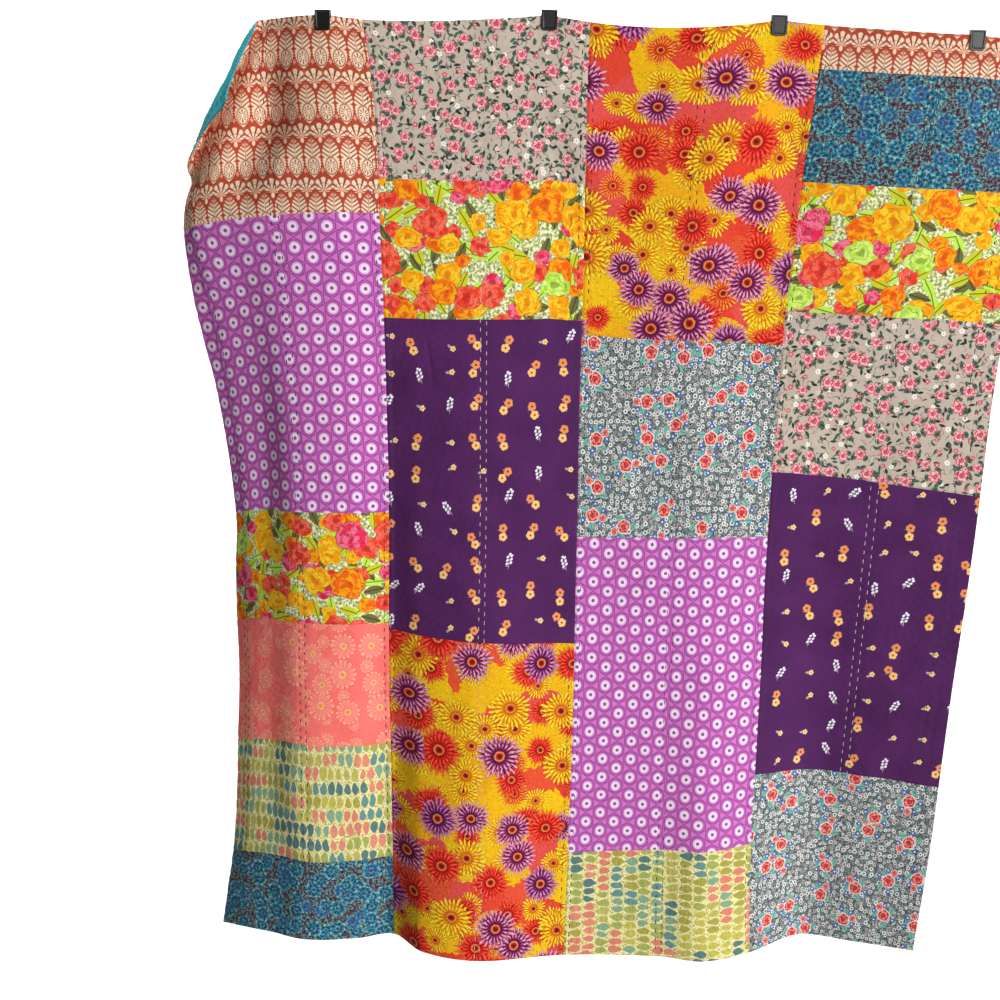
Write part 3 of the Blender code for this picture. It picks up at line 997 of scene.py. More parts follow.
def wrapped(field, period):
    """The same value counted from the nearest whole number of periods."""
    return work("WRAP", field, 0.5 * period, -0.5 * period)


def length(x, y):
    """The distance from the origin."""
    return work("SQRT", x * x + y * y)


def angle_of(x, y):
    """The direction from the origin, from minus half a turn to half a turn."""
    return work("ARCTAN2", y, x)


def ramp(field, low, high):
    """0 below low, 1 above high and a soft step between. With low above high it falls."""
    node = field.tree.nodes.new("ShaderNodeMapRange")
    node.interpolation_type = "SMOOTHSTEP"
    plug(node.inputs["Value"], field)
    node.inputs["From Min"].default_value = low
    node.inputs["From Max"].default_value = high
    return Field(node.outputs["Result"])


def below(field, limit, soft):
    """1 where a field is under a limit, which may be a field itself, with a soft edge."""
    return ramp(field - limit, soft, -soft)


def turned(x, y, angle):
    """The same point in axes turned by an angle."""
    c = cosine(angle)
    s = sine(angle)
    return x * c + y * s, y * c - x * s


def as_vector(x, y):
    """A point of the plane, for a node that takes a vector."""
    node = x.tree.nodes.new("ShaderNodeCombineXYZ")
    plug(node.inputs[0], x)
    plug(node.inputs[1], y)
    return Field(node.outputs[0])


def parts_of(vector):
    """A vector's three numbers."""
    node = vector.tree.nodes.new("ShaderNodeSeparateXYZ")
    plug(node.inputs[0], vector)
    return tuple(Field(output) for output in node.outputs)


def cloud(x, y, size, detail=1.0, shift=0.0, roughness=0.5):
    """Soft noise around 0.5, with spots of about the given size."""
    node = x.tree.nodes.new("ShaderNodeTexNoise")
    node.noise_dimensions = "2D"
    plug(node.inputs["Vector"], as_vector(x + shift, y + 0.7 * shift))
    node.inputs["Scale"].default_value = 1.0 / size
    node.inputs["Detail"].default_value = detail
    node.inputs["Roughness"].default_value = roughness
    return Field(node.outputs["Factor"] if "Factor" in node.outputs else node.outputs["Fac"])


def scattered(x, y, pitch, looseness, shift=0.0):
    """The way to each point from the nearest of many scattered places, and three random
    numbers of that place."""
    node = x.tree.nodes.new("ShaderNodeTexVoronoi")
    node.voronoi_dimensions = "2D"
    x = x + shift
    y = y + 1.3 * shift
    plug(node.inputs["Vector"], as_vector(x, y))
    node.inputs["Scale"].default_value = 1.0 / pitch
    node.inputs["Randomness"].default_value = looseness
    at_x, at_y, _ = parts_of(Field(node.outputs["Position"]))
    return x - at_x, y - at_y, parts_of(Field(node.outputs["Color"]))


def dice(x, y, shift=0.0):
    """A random number for each whole x and y."""
    node = x.tree.nodes.new("ShaderNodeTexWhiteNoise")
    node.noise_dimensions = "2D"
    plug(node.inputs["Vector"], as_vector(x + (0.5 + shift), y + 0.5))
    return Field(node.outputs["Value"])


def linear(colour):
    """A colour given in the 0 to 255 steps of a picture, as light."""
    def light(step):
        share = step / 255.0
        return share / 12.92 if share <= 0.04045 else ((share + 0.055) / 1.055) ** 2.4
    return (*(light(step) for step in colour), 1.0)


def mix(factor, under, over):
    """over laid on under by a factor. A colour may be a field or steps from 0 to 255."""
    node = factor.tree.nodes.new("ShaderNodeMix")
    node.data_type = "RGBA"
    plug(node.inputs[0], factor)
    plug(node.inputs[6], under if isinstance(under, Field) else linear(under))
    plug(node.inputs[7], over if isinstance(over, Field) else linear(over))
    return Field(node.outputs[2])


def mix_number(factor, under, over):
    """under where the factor is 0, over where it is 1."""
    return under + (over - under) * factor


def tinted(colour, factor):
    """A colour made lighter or darker by a factor."""
    node = colour.tree.nodes.new("ShaderNodeVectorMath")
    node.operation = "SCALE"
    plug(node.inputs[0], colour)
    plug(node.inputs["Scale"], factor)
    return Field(node.outputs[0])


def choice(field, colours):
    """One of several colours in even shares of 0 to 1, with hard steps."""
    return shades(field, [(n / len(colours), colour) for n, colour in enumerate(colours)], "CONSTANT")


def shades(field, stops, interpolation="LINEAR"):
    """Colours at given places from 0 to 1."""
    node = field.tree.nodes.new("ShaderNodeValToRGB")
    node.color_ramp.interpolation = interpolation
    elements = node.color_ramp.elements
    elements.remove(elements[1])
    elements[0].position = stops[0][0]
    elements[0].color = linear(stops[0][1])
    for position, colour in stops[1:]:
        elements.new(position).color = linear(colour)
    plug(node.inputs[0], field)
    return Field(node.outputs["Color"])


# ---------------------------------------------------------------- parts of the prints

TURN = 2 * math.pi


def off_middle(field):
    """0 halfway between whole numbers, rising to 1 at each of them."""
    return abs(fraction(field) - 0.5) * 2.0


def polar(x, y, reach, turn):
    """How far out a point of a flower lies, in shares of its reach, and its direction."""
    return length(x, y) / reach, angle_of(x, y) + turn


def petal_gap(angle, count):
    """0 along the middle of each of a flower's petals, 1 in the gaps between them."""
    return off_middle(angle * (count / TURN))


def leaf_cover(x, y, half_length, half_width, soft=0.3):
    """A pointed leaf along x, from its middle."""
    along = lesser(abs(x) / half_length, 1.0)
    return below(abs(y), (1.0 - along * along) * (half_width + soft) - soft, soft)


def lay_leaf(under, x, y, half_length, half_width, colour, vein):
    """A pointed leaf with a vein down its middle."""
    leafy = mix(below(abs(y), 0.12 * half_width, 0.25), colour, vein)
    return mix(leaf_cover(x, y, half_length, half_width), under, leafy)


def lay_rose(under, x, y, reach, turn, deep, middle, pale, rim=None):
    """A rose seen from the front: ruffled petals one inside another, within a scalloped rim."""
    ruffle = cloud(x / reach, y / reach, 0.5, 1.0, 0.0) - 0.5
    radius, angle = polar(x, y, reach, turn * TURN)
    petals_in = radius + 0.9 * ruffle + 0.05 * sine(angle * 3.0 + radius * 7.0)
    fold = fraction(petals_in * 2.1 + 0.3)
    petals = shades(fold, ((0.0, deep), (0.2, middle), (0.5, pale), (0.8, middle), (1.0, deep)))
    petals = mix(ramp(radius, 0.4, 0.12) * 0.8, petals, deep)
    outline = 0.94 + 0.06 * sine(angle * 5.0) + 0.4 * ruffle
    if rim is not None:
        under = mix(below(radius, outline + 0.16, 0.06), under, rim)
    return mix(below(radius, outline, 0.06), under, petals)


def lay_blossom(under, x, y, reach, turn, petals, colour, heart, heart_share=0.32, notch=0.3):
    """A small open flower of round petals with a heart of another colour."""
    radius, angle = polar(x, y, reach, turn)
    gap = petal_gap(angle, petals)
    outline = 1.0 - notch * gap * gap * gap
    flower = mix(below(radius, heart_share, 0.08), colour, heart)
    return mix(below(radius, outline, 0.1), under, flower)


# ---------------------------------------------------------------- the prints, in millimetres

OGEE_PITCH = 26.0
OGEE_REPEAT = 80.0


def paint_ogee(x, y):
    """Brick red cloth with rows of tall leafy medallions and, half a step on, of fans."""
    brick, rust, cream, blush = (178, 72, 50), (120, 42, 30), (248, 214, 182), (230, 150, 124)
    tall_x = wrapped(x, OGEE_PITCH)
    tall_y = wrapped(y, OGEE_REPEAT)
    fan_x = wrapped(x + 0.5 * OGEE_PITCH, OGEE_PITCH)
    fan_y = wrapped(y + 0.5 * OGEE_REPEAT, OGEE_REPEAT)
    side = abs(tall_x)

    up = lesser(abs(tall_y) / 29.5, 1.0)
    waist = 1.0 - 0.14 * below(abs(tall_y + 0.5), 1.0, 3.5)
    leaf_gap = off_middle((tall_y - 0.75 * side) / 6.6)
    beads = off_middle(tall_y / 4.2)
    notches = mix_number(below(tall_y, 0.0, 0.5), leaf_gap, beads)
    half_width = (1.0 - power(up, 3.0)) * waist * (12.2 - 1.8 * notches * notches)
    tall = mix(ramp(tall_y, 12.0, 26.0) * 0.9, cream, blush)
    leaf_lines = ramp(leaf_gap, 0.5, 0.86) * ramp(tall_y, -1.0, 1.0) * ramp(side, 0.6, 1.6)
    tall = mix(leaf_lines, tall, rust)
    tall = mix(below(side, 0.45, 0.45) * ramp(tall_y, 1.0, 3.0) * 0.8, tall, rust)
    oval = length(tall_x / 8.2, (tall_y + 12.5) / 12.5)
    tall = mix(below(abs(oval - 1.0), 0.07, 0.1), tall, rust)
    seeds = petal_gap(angle_of(tall_y + 12.5, tall_x), 10)
    tall = mix(ramp(seeds, 0.5, 0.8) * ramp(oval, 0.2, 0.3) * below(oval, 0.78, 0.08), tall, rust)

    reach = length(fan_x, fan_y + 9.0)
    spread = angle_of(fan_y + 9.0, fan_x)
    petal = off_middle(spread * (7.0 / 4.2) + 0.5)
    outline = cosine(spread * 0.68) * 20.4 - 3.2 * petal * petal
    fan = mix(below(reach, 5.0, 4.0) * 0.8, cream, blush)
    fan = mix(ramp(petal, 0.5, 0.86) * ramp(reach, 2.5, 4.5), fan, rust)
    fan = mix(below(abs(reach - 12.0 + 2.0 * petal), 0.4, 0.5) * 0.9, fan, rust)
    drop = length(fan_x / 2.6, (fan_y + 14.0) / 4.2)

    colour = mix(below(side, half_width, 0.4), brick, tall)
    colour = mix(below(reach, outline, 0.4), colour, fan)
    colour = mix(below(drop, 1.0, 0.15), colour, cream)
    diamond = abs(fan_x) / 2.8 + abs(fan_y - 21.0) / 4.4
    return mix(below(diamond, 1.0, 0.15), colour, blush)


MEDALLION_PITCH = 26.3
MEDALLION_STEP = 31.6


def paint_medallion(x, y):
    """Round medallions in a honeycomb, on a net of crossing lines."""
    orchid, magenta, lilac = (212, 120, 200), (156, 56, 140), (186, 104, 178)
    pale, dusk, white = (240, 196, 236), (128, 84, 128), (252, 230, 250)
    first_x = wrapped(x, 2 * MEDALLION_PITCH)
    first_y = wrapped(y, MEDALLION_STEP)
    next_x = wrapped(x + MEDALLION_PITCH, 2 * MEDALLION_PITCH)
    next_y = wrapped(y + 0.5 * MEDALLION_STEP, MEDALLION_STEP)
    first_radius = length(first_x, first_y)
    next_radius = length(next_x, next_y)
    second = work("LESS_THAN", next_radius, first_radius)
    near_x = first_x + (next_x - first_x) * second
    near_y = first_y + (next_y - first_y) * second
    radius = lesser(first_radius, next_radius)
    angle = angle_of(near_x, near_y)

    across = wrapped(x + 0.5 * MEDALLION_PITCH, MEDALLION_PITCH)
    slant = 0.5 * MEDALLION_STEP / MEDALLION_PITCH
    rising = wrapped(y - slant * x + 0.5 * MEDALLION_STEP, MEDALLION_STEP)
    falling = wrapped(y + slant * x + 0.5 * MEDALLION_STEP, MEDALLION_STEP)
    lines = lesser(abs(across), lesser(abs(rising), abs(falling)) * 0.86)
    ground = mix(below(lines, 0.55, 0.4), orchid, magenta)

    scallop = 12.7 + 0.8 * abs(sine(angle * 6.0))
    disk = mix(below(radius, scallop - 1.0, 0.2), magenta, lilac)
    beads = petal_gap(angle, 22)
    disk = mix(below(abs(radius - 10.5), 0.5, 0.3) * ramp(beads, 0.3, 0.6), disk, (150, 72, 156))
    disk = mix(ramp(radius, 9.0, 8.4), disk, pale)
    disk = mix(ramp(radius, 7.0, 4.9), disk, white)
    disk = mix(ramp(radius, 3.9, 2.2), disk, dusk)
    return mix(below(radius, scallop, 0.25), ground, disk)


def lay_line_daisy(under, x, y, reach, turn, petals):
    """A daisy drawn in outline, with an orange heart."""
    line, fill, heart = (255, 226, 176), (255, 142, 128), (240, 150, 62)
    radius, angle = polar(x, y, reach, turn)
    gap = petal_gap(angle, petals)
    loop = length(gap / (0.38 + 0.38 * radius), (radius - 0.6) / 0.4)
    petal = mix(below(abs(loop - 0.9), 0.07, 0.12), fill, line)
    daisy = mix(below(loop, 1.0, 0.08), under, petal)
    daisy = mix(below(radius, 0.23, 0.04), daisy, line)
    return mix(below(radius, 0.18, 0.05), daisy, heart)


def paint_daisy(x, y):
    """Coral cloth with outlined daisies of several sizes."""
    ground = mix(cloud(x, y, 60.0), (255, 112, 104), (255, 128, 120))
    dx, dy, (_, size, turn) = scattered(x, y, 44.0, 0.7, 40.0)
    colour = lay_line_daisy(ground, dx, dy, 8.5 + 4.0 * size, turn * TURN, 11)
    dx, dy, (_, size, turn) = scattered(x, y, 57.0, 0.55, 7.0)
    reach = 16.0 + 10.0 * size
    bend = 0.25 * cloud(x, y, 12.0, 0.0)
    colour = mix(below(length(dx, dy), reach + 2.0, 1.0), colour, ground)
    return lay_line_daisy(colour, dx, dy, reach, turn * TURN + bend, 15)


DROP_PITCH = 14.4
DROP_ROW = 25.5


def paint_drops(x, y):
    """Rows of painted drops, a few of each colour side by side."""
    y = y + 5.0 * (cloud(x, y, 60.0, 0.0) - 0.5) + 2.4 * (cloud(x, y, 12.0, 0.0, 33.0) - 0.5)
    row = whole(y / DROP_ROW)
    x = x + 9.0 * dice(row, row, 3.0) + 4.4 * (cloud(x, y, 13.0, 0.0, 60.0) - 0.5)
    place_in_row = x / DROP_PITCH
    number = whole(place_in_row)
    size = dice(number, row, 5.0)
    u = (fraction(place_in_row) - 0.5) * 2.0
    v = (fraction(y / DROP_ROW) - 0.5) * 2.0 * (0.98 + 0.3 * size * size)
    way = work("SIGN", dice(whole(number / 3.0), row, 8.0) - 0.4)
    taper = 1.0 - 0.36 * v * way
    half = power(greater(1.0 - v * v, 0.0), 0.58) * taper * (0.92 - 0.14 * size)
    group = dice(whole((number + 2.0 * dice(row, row, 9.0)) / 2.2), row, 1.0)
    tone = choice(group, ((166, 158, 66), (218, 122, 104), (128, 164, 134), (72, 116, 118),
                          (192, 182, 78), (160, 168, 84), (222, 134, 112), (92, 140, 140),
                          (184, 176, 88)))
    paint = cloud(x, y, 6.0, 2.0, 20.0)
    tone = tinted(tone, 0.6 + 0.8 * paint)
    ground = shades(cloud(x, y, 4.2, 1.0, 12.0), (
        (0.36, (178, 168, 78)), (0.48, (232, 222, 140)), (0.58, (252, 248, 206)),
        (0.68, (206, 196, 104))))
    ring = below(abs(u), half + 0.16, 0.06)
    colour = mix(ring * 0.55, ground, (248, 242, 190))
    return mix(below(abs(u), half, 0.07) * (0.8 + 0.3 * paint), colour, tone)


def lay_blue_head(under, x, y, shift, pitch):
    """Round dense flower heads of ragged petals."""
    dx, dy, (kind, size, turn) = scattered(x, y, pitch, 0.7, shift)
    reach = 12.0 + 5.0 * size
    radius, angle = polar(dx, dy, reach, turn * TURN)
    ragged = cloud(x, y, 5.0, 2.0, shift, 0.6)
    gap = petal_gap(angle + 1.5 * ragged, 8)
    tone = 0.75 - 0.5 * gap + 0.9 * (ragged - 0.5) + 0.2 * sine(radius * 9.0)
    petal = shades(tone, ((0.1, (30, 44, 66)), (0.28, (26, 84, 112)), (0.5, (40, 120, 148)),
                          (0.72, (72, 158, 176)), (0.95, (150, 206, 198))))
    petal = mix(ramp(kind, 0.62, 0.9) * 0.4, petal, (62, 104, 168))
    petal = mix(ramp(radius, 0.26, 0.1), petal, (70, 60, 96))
    return mix(below(radius, 0.7 + 0.6 * ragged - 0.22 * gap, 0.08), under, petal)


def paint_teal_heads(x, y):
    """Teal and blue flower heads crowded over dark maroon, with pale flecks."""
    fleck = cloud(x, y, 5.0, 2.0, 15.0, 0.6)
    ground = shades(fleck, ((0.34, (44, 36, 52)), (0.46, (104, 62, 76)), (0.52, (58, 50, 66)),
                            (0.58, (130, 190, 180)), (0.66, (44, 96, 118))))
    colour = lay_blue_head(ground, x, y, 5.0, 36.0)
    colour = lay_blue_head(colour, x, y, 21.0, 41.0)
    dusk = ramp(cloud(x, y, 4.6, 2.0, 110.0), 0.44, 0.36)
    return mix(dusk * 0.8, colour, (58, 44, 62))


def paint_rosebud(x, y):
    """Taupe cloth with sprays of pink roses, buds, white blossoms and green leaves."""
    green, dark_green, bark = (78, 106, 92), (34, 52, 46), (70, 50, 48)
    colour = mix(cloud(x, y, 50.0, 2.0), (190, 174, 158), (208, 192, 176))
    twig = abs(cloud(x, y, 15.0, 1.0, 33.0) - 0.5)
    where = ramp(cloud(x, y, 13.0, 1.0, 81.0), 0.45, 0.52)
    colour = mix(below(twig, 0.02, 0.014) * where, colour, bark)
    for shift, pitch in ((12.0, 19.0), (47.0, 23.0)):
        dx, dy, (kind, size, turn) = scattered(x, y, pitch, 0.95, shift)
        lx, ly = turned(dx, dy, turn * TURN)
        leaf = mix(ramp(kind, 0.35, 0.5), dark_green, green)
        colour = lay_leaf(colour, lx, ly, 5.0 + 1.5 * size, 2.2, leaf, dark_green)
    dx, dy, (kind, size, turn) = scattered(x, y, 27.0, 0.85, 64.0)
    bud = mix(ramp(kind, 0.5, 0.6), (250, 246, 234), (214, 84, 106))
    colour = lay_blossom(colour, dx, dy, 3.4 + 1.4 * size, turn * TURN, 5, bud, (232, 196, 160),
                         0.36, 0.4)
    dx, dy, (_, size, turn) = scattered(x, y, 37.0, 0.72, 3.0)
    reach = 8.2 + 3.4 * size
    radius, angle = polar(dx, dy, reach, turn * TURN)
    gap = petal_gap(angle, 3)
    leafy = below(gap, 1.7 - 1.0 * radius, 0.08) * ramp(radius, 1.55, 1.45) * ramp(gap, 0.5, 0.4)
    leaf = mix(below(gap, 0.06, 0.04), green, dark_green)
    colour = mix(leafy, colour, leaf)
    return lay_rose(colour, dx, dy, reach, turn, (182, 48, 72), (230, 118, 134), (255, 212, 208))


SPRIG_PITCH = 51.0


def lay_flower_pair(under, x, y, turn):
    """Two small flowers, one over the other, with a thin stem beside each."""
    stem = (206, 196, 176)
    colour = lay_leaf(under, x + 6.0, y - 4.0, 4.2, 0.5, stem, stem)
    colour = lay_leaf(colour, x - 5.5, y + 10.0, 3.4, 0.5, stem, stem)
    colour = lay_blossom(colour, x, y - 7.0, 7.2, turn, 5, (240, 150, 90), (124, 50, 56), 0.26, 0.22)
    return lay_blossom(colour, x, y + 7.0, 7.2, turn, 5, (254, 200, 120), (150, 78, 56), 0.26, 0.22)


def lay_berries(under, x, y):
    """A sprig with white berries along both sides of its stem."""
    stem = (190, 184, 176)
    berry_white = (246, 240, 250)
    colour = lay_leaf(under, x, y + 4.0, 0.6, 9.0, stem, stem)
    colour = lay_leaf(colour, x + 2.0, y + 8.0, 4.5, 0.5, stem, stem)
    side = abs(x)
    for level in (-3.0, 2.5, 8.0):
        berry = length(side - 3.2, y - level - 0.4 * x)
        colour = mix(below(berry, 2.2, 0.35), colour, berry_white)
    return mix(below(length(x, y - 11.5), 2.2, 0.35), colour, berry_white)


def paint_sprigs(x, y):
    """Deep purple cloth with pairs of small flowers, berry sprigs and tiny blossoms."""
    ground = mix(cloud(x, y, 70.0, 1.0), (70, 27, 78), (90, 38, 98))
    dx, dy, (kind, size, turn) = scattered(x, y, SPRIG_PITCH, 0.4, 4.0)
    dx, dy = turned(dx, dy, (turn - 0.5) * 1.6)
    tiny = lay_leaf(ground, dx + 5.5, dy + 1.0, 4.6, 2.0, (178, 180, 156), (120, 118, 96))
    tiny = lay_blossom(tiny, dx - 1.5, dy, 4.8, turn, 5, (254, 214, 150), (236, 150, 80), 0.34, 0.4)
    colour = mix(below(kind, 0.68, 0.001), tiny, lay_berries(ground, dx, dy))
    return mix(below(kind, 0.4, 0.001), colour, lay_flower_pair(ground, dx, dy, size))


def lay_ring_flower(under, x, y, pitch, shift, least, more):
    """Small flowers painted as a pale ring with an open middle."""
    dx, dy, (kind, size, turn) = scattered(x, y, pitch, 0.8, shift)
    reach = least + more * size
    radius, angle = polar(dx, dy, reach, turn * TURN)
    outline = 1.0 - 0.16 * petal_gap(angle, 5)
    tone = mix(ramp(kind, 0.75, 0.8), (240, 240, 236), (206, 186, 182))
    petal = mix(below(radius, 0.38 + 0.2 * turn, 0.1), tone, (92, 100, 98))
    colour = mix(below(radius, outline + 0.2, 0.1) * 0.7, under, (84, 94, 92))
    return mix(below(radius, outline, 0.09), colour, petal)


def paint_meadow(x, y):
    """Grey-green cloth crowded with pale ring flowers, and clusters round a red rose."""
    shade = cloud(x, y, 3.4, 2.0, 9.0)
    colour = shades(shade, ((0.35, (54, 66, 70)), (0.52, (84, 99, 102)), (0.66, (116, 132, 132))))
    curl = abs(cloud(x, y, 5.2, 1.0, 44.0) - 0.5)
    colour = mix(below(curl, 0.026, 0.025) * 0.7, colour, (206, 210, 206))
    colour = lay_ring_flower(colour, x, y, 10.0, 14.0, 2.1, 1.5)
    colour = lay_ring_flower(colour, x, y, 13.0, 3.0, 3.0, 1.6)
    dx, dy, (_, _, turn) = scattered(x, y, 66.0, 0.7, 25.0)
    dx, dy = turned(dx, dy, turn * TURN)
    for at_x, at_y, lean in ((16.0, 3.0, 0.5), (-7.0, 16.0, 2.2), (-11.0, -13.0, -2.0)):
        lx, ly = turned(dx - at_x, dy - at_y, turn + lean)
        colour = lay_leaf(colour, lx, ly, 8.5, 4.8, (124, 184, 168), (64, 120, 116))
    for at_x, at_y in ((14.0, 14.0), (4.0, -18.0), (-19.0, 3.0), (20.0, -3.0)):
        colour = lay_blossom(colour, dx - at_x, dy - at_y, 5.0, turn, 6, (66, 104, 168),
                             (226, 230, 240), 0.34, 0.45)
    colour = lay_rose(colour, dx - 13.0, dy + 13.0, 6.2, turn, (178, 38, 46), (218, 76, 78),
                      (250, 172, 160), (240, 220, 210))
    return lay_rose(colour, dx, dy, 11.0, turn, (170, 28, 38), (212, 54, 56), (250, 170, 158),
                    (240, 220, 210))


OUTER_PETALS = 24
INNER_PETALS = 19


def lay_gerbera(under, x, y, pitch, shift, kinds):
    """Big daisies of many thin petals with an orange ring round a dark red heart.

    kinds lists, for each sort, the base of its petals, their middle and their tips."""
    dx, dy, (kind, size, turn) = scattered(x, y, pitch, 0.62, shift)
    reach = pitch * (0.34 + 0.12 * size)
    radius = length(dx, dy * (1.0 + 0.2 * kind)) / reach
    streak = cloud(x, y, 5.0, 1.0, shift)
    angle = angle_of(dx, dy) + turn * TURN + 0.1 * streak
    whorl = angle * (OUTER_PETALS / TURN)
    inner_whorl = angle * (INNER_PETALS / TURN) + 0.3 * streak
    gap = off_middle(whorl)
    inner_gap = off_middle(inner_whorl)
    long = dice(whole(whorl), whole(kind * 40.0))
    short = dice(whole(inner_whorl), whole(size * 40.0), 7.0)
    outline = 0.92 + 0.2 * long - 0.34 * gap
    inner_outline = 0.6 + 0.24 * short - 0.22 * inner_gap
    base, middle, tip = (choice(kind, tones) for tones in zip(*kinds))
    outer = mix(ramp(gap - 0.5 * streak, 0.3, 0.0) * ramp(radius, 0.5, 0.8), middle, tip)
    outer = mix(ramp(gap, 0.55, 0.85) * 0.85, outer, base)
    outer = mix(below(radius, inner_outline + 0.07, 0.04) * 0.85, outer, base)
    inner = mix(ramp(inner_gap - 0.5 * streak, 0.3, 0.0) * ramp(radius, 0.34, 0.56), middle, tip)
    inner = mix(ramp(inner_gap, 0.5, 0.82) * 0.85, inner, base)
    flower = mix(below(radius, inner_outline, 0.03), outer, inner)
    flower = mix(ramp(radius, 0.42, 0.27) * 0.8, flower, base)
    ragged = radius + 0.04 * gap + 0.05 * streak
    flower = mix(below(ragged, 0.27, 0.02), flower, (240, 150, 70))
    flower = mix(below(ragged, 0.215, 0.02), flower, (190, 40, 24))
    flower = mix(ramp(ragged, 0.19, 0.1), flower, (96, 14, 22))
    shadowed = tinted(under, 1.0 - 0.55 * below(radius, outline + 0.06, 0.05))
    return mix(below(radius, outline, 0.03), shadowed, flower)


PURPLE_GERBERA = ((76, 6, 52), (134, 26, 92), (240, 158, 190))
VIOLET_GERBERA = ((66, 8, 58), (118, 26, 98), (222, 134, 186))
RED_GERBERA = ((150, 10, 18), (226, 30, 20), (252, 92, 56))
ORANGE_GERBERA = ((170, 30, 14), (236, 84, 26), (252, 160, 60))
YELLOW_GERBERA = ((186, 84, 6), (240, 170, 10), (252, 222, 50))


def paint_gerbera(x, y):
    """Crowded gerberas over patches of yellow, coral and pink drawn with little curls."""
    ragged = 16.0 * (cloud(x, y, 9.0, 1.0, 18.0) - 0.5)
    _, _, (patch, _, _) = scattered(x + ragged, y - ragged, 62.0, 1.0, 71.0)
    ground = choice(patch, ((250, 196, 14), (238, 74, 50), (250, 184, 20), (240, 88, 54),
                            (252, 206, 20), (236, 84, 78), (248, 180, 20), (236, 66, 46),
                            (250, 194, 14)))
    curl = abs(fraction(cloud(x, y, 8.0, 0.0, 52.0) * 8.0) - 0.5)
    ground = mix(below(curl, 0.11, 0.1) * 0.75, ground, (150, 34, 20))
    colour = lay_gerbera(ground, x, y, 66.0, 11.0, (
        YELLOW_GERBERA, RED_GERBERA, YELLOW_GERBERA, ORANGE_GERBERA, YELLOW_GERBERA))
    colour = lay_gerbera(colour, x, y, 84.0, 57.0, (
        RED_GERBERA, YELLOW_GERBERA, PURPLE_GERBERA, RED_GERBERA, YELLOW_GERBERA))
    return lay_gerbera(colour, x, y, 96.0, 83.0, (
        VIOLET_GERBERA, RED_GERBERA, PURPLE_GERBERA, YELLOW_GERBERA, PURPLE_GERBERA))


def lay_watercolour(under, x, y, pitch, shift, petals, least, kinds):
    """Loose open blossoms in washes of two colours, with a thin broken outline.

    kinds lists, for each sort, its light, its full and its deep colour."""
    dx, dy, (kind, size, turn) = scattered(x, y, pitch, 0.7, shift)
    reach = least + 0.5 * least * size
    wash = cloud(x, y, 14.0, 2.0, shift)
    radius = length(dx, dy * (1.0 + 0.35 * kind)) / reach + 0.5 * (wash - 0.5)
    gap = petal_gap(angle_of(dx, dy) + turn * TURN + 1.4 * wash, petals)
    outline = 1.0 - 0.3 * gap * gap * turn
    light, full, deep = (choice(kind, tones) for tones in zip(*kinds))
    folds = fraction(radius * 2.3 + 0.8 * wash + 0.35 * gap)
    flower = mix(ramp(wash + 0.2 * folds, 0.48, 0.66), full, light)
    flower = mix(ramp(folds, 0.72, 0.98) * 0.75, flower, deep)
    flower = mix(ramp(radius, 0.35, 0.1) * 0.6, flower, deep)
    edge = below(abs(radius - outline), 0.03, 0.04) * ramp(wash, 0.42, 0.52)
    colour = mix(below(radius, outline, 0.04), under, flower)
    return mix(edge * 0.75, colour, (110, 62, 30))


YELLOW_WASH = ((254, 208, 40), (250, 164, 8), (216, 98, 12))
ORANGE_WASH = ((255, 170, 20), (246, 104, 14), (204, 56, 20))
CORAL_WASH = ((254, 112, 84), (236, 62, 40), (180, 28, 36))
ROSE_WASH = ((252, 120, 150), (232, 42, 84), (168, 20, 56))
LIME_WASH = ((220, 246, 120), (180, 226, 70), (110, 130, 50))


def paint_blossom(x, y):
    """Poppies and tulip-coloured blossoms in loose washes, over leaves and green flecks."""
    fleck = cloud(x, y, 5.0, 2.0, 8.0, 0.6)
    colour = shades(fleck, ((0.4, (250, 246, 214)), (0.48, (230, 238, 160)), (0.54, (70, 84, 50)),
                            (0.58, (214, 226, 150)), (0.66, (120, 132, 60))))
    for shift, pitch, tone, vein in ((16.0, 38.0, (196, 236, 84), (96, 128, 40)),
                                     (51.0, 42.0, (112, 110, 60), (66, 66, 40)),
                                     (77.0, 46.0, (206, 210, 40), (120, 110, 30))):
        dx, dy, (_, size, turn) = scattered(x, y, pitch, 0.85, shift)
        lx, ly = turned(dx, dy, turn * TURN)
        colour = lay_leaf(colour, lx, ly, 16.0 + 5.0 * size, 7.5, tone, vein)
    colour = lay_watercolour(colour, x, y, 46.0, 6.0, 5, 13.0, (
        YELLOW_WASH, CORAL_WASH, ROSE_WASH, ORANGE_WASH))
    colour = lay_watercolour(colour, x, y, 62.0, 31.0, 4, 18.0, (
        ORANGE_WASH, YELLOW_WASH, ROSE_WASH, YELLOW_WASH, CORAL_WASH))
    return lay_watercolour(colour, x, y, 84.0, 59.0, 3, 22.0, (
        YELLOW_WASH, CORAL_WASH, ORANGE_WASH, ROSE_WASH, LIME_WASH, YELLOW_WASH))


# ---------------------------------------------------------------- materials

# Repeats of the weave and of a thread's twist, and height of the cloth's crinkles.
WEAVE_PITCH = 0.62
TWIST_PITCH = 1.1
CRINKLE_HEIGHT = 1.4
# How far a print wavers on its cloth, and over what distance.
PRINT_WAVER = 1.4
PRINT_WAVER_SIZE = 30.0


def shader_of(name):
    """A new material and its Principled BSDF."""
    material = bpy.data.materials.new(name)
    material.use_nodes = True
    return material, material.node_tree.nodes["Principled BSDF"]


def cloth_fields(material):
    """The cloth's own coordinates at each point, in millimetres."""
    node = material.node_tree.nodes.new("ShaderNodeUVMap")
    node.uv_map = "cloth"
    x, y, _ = parts_of(Field(node.outputs["UV"]))
    return x * 1000.0, y * 1000.0


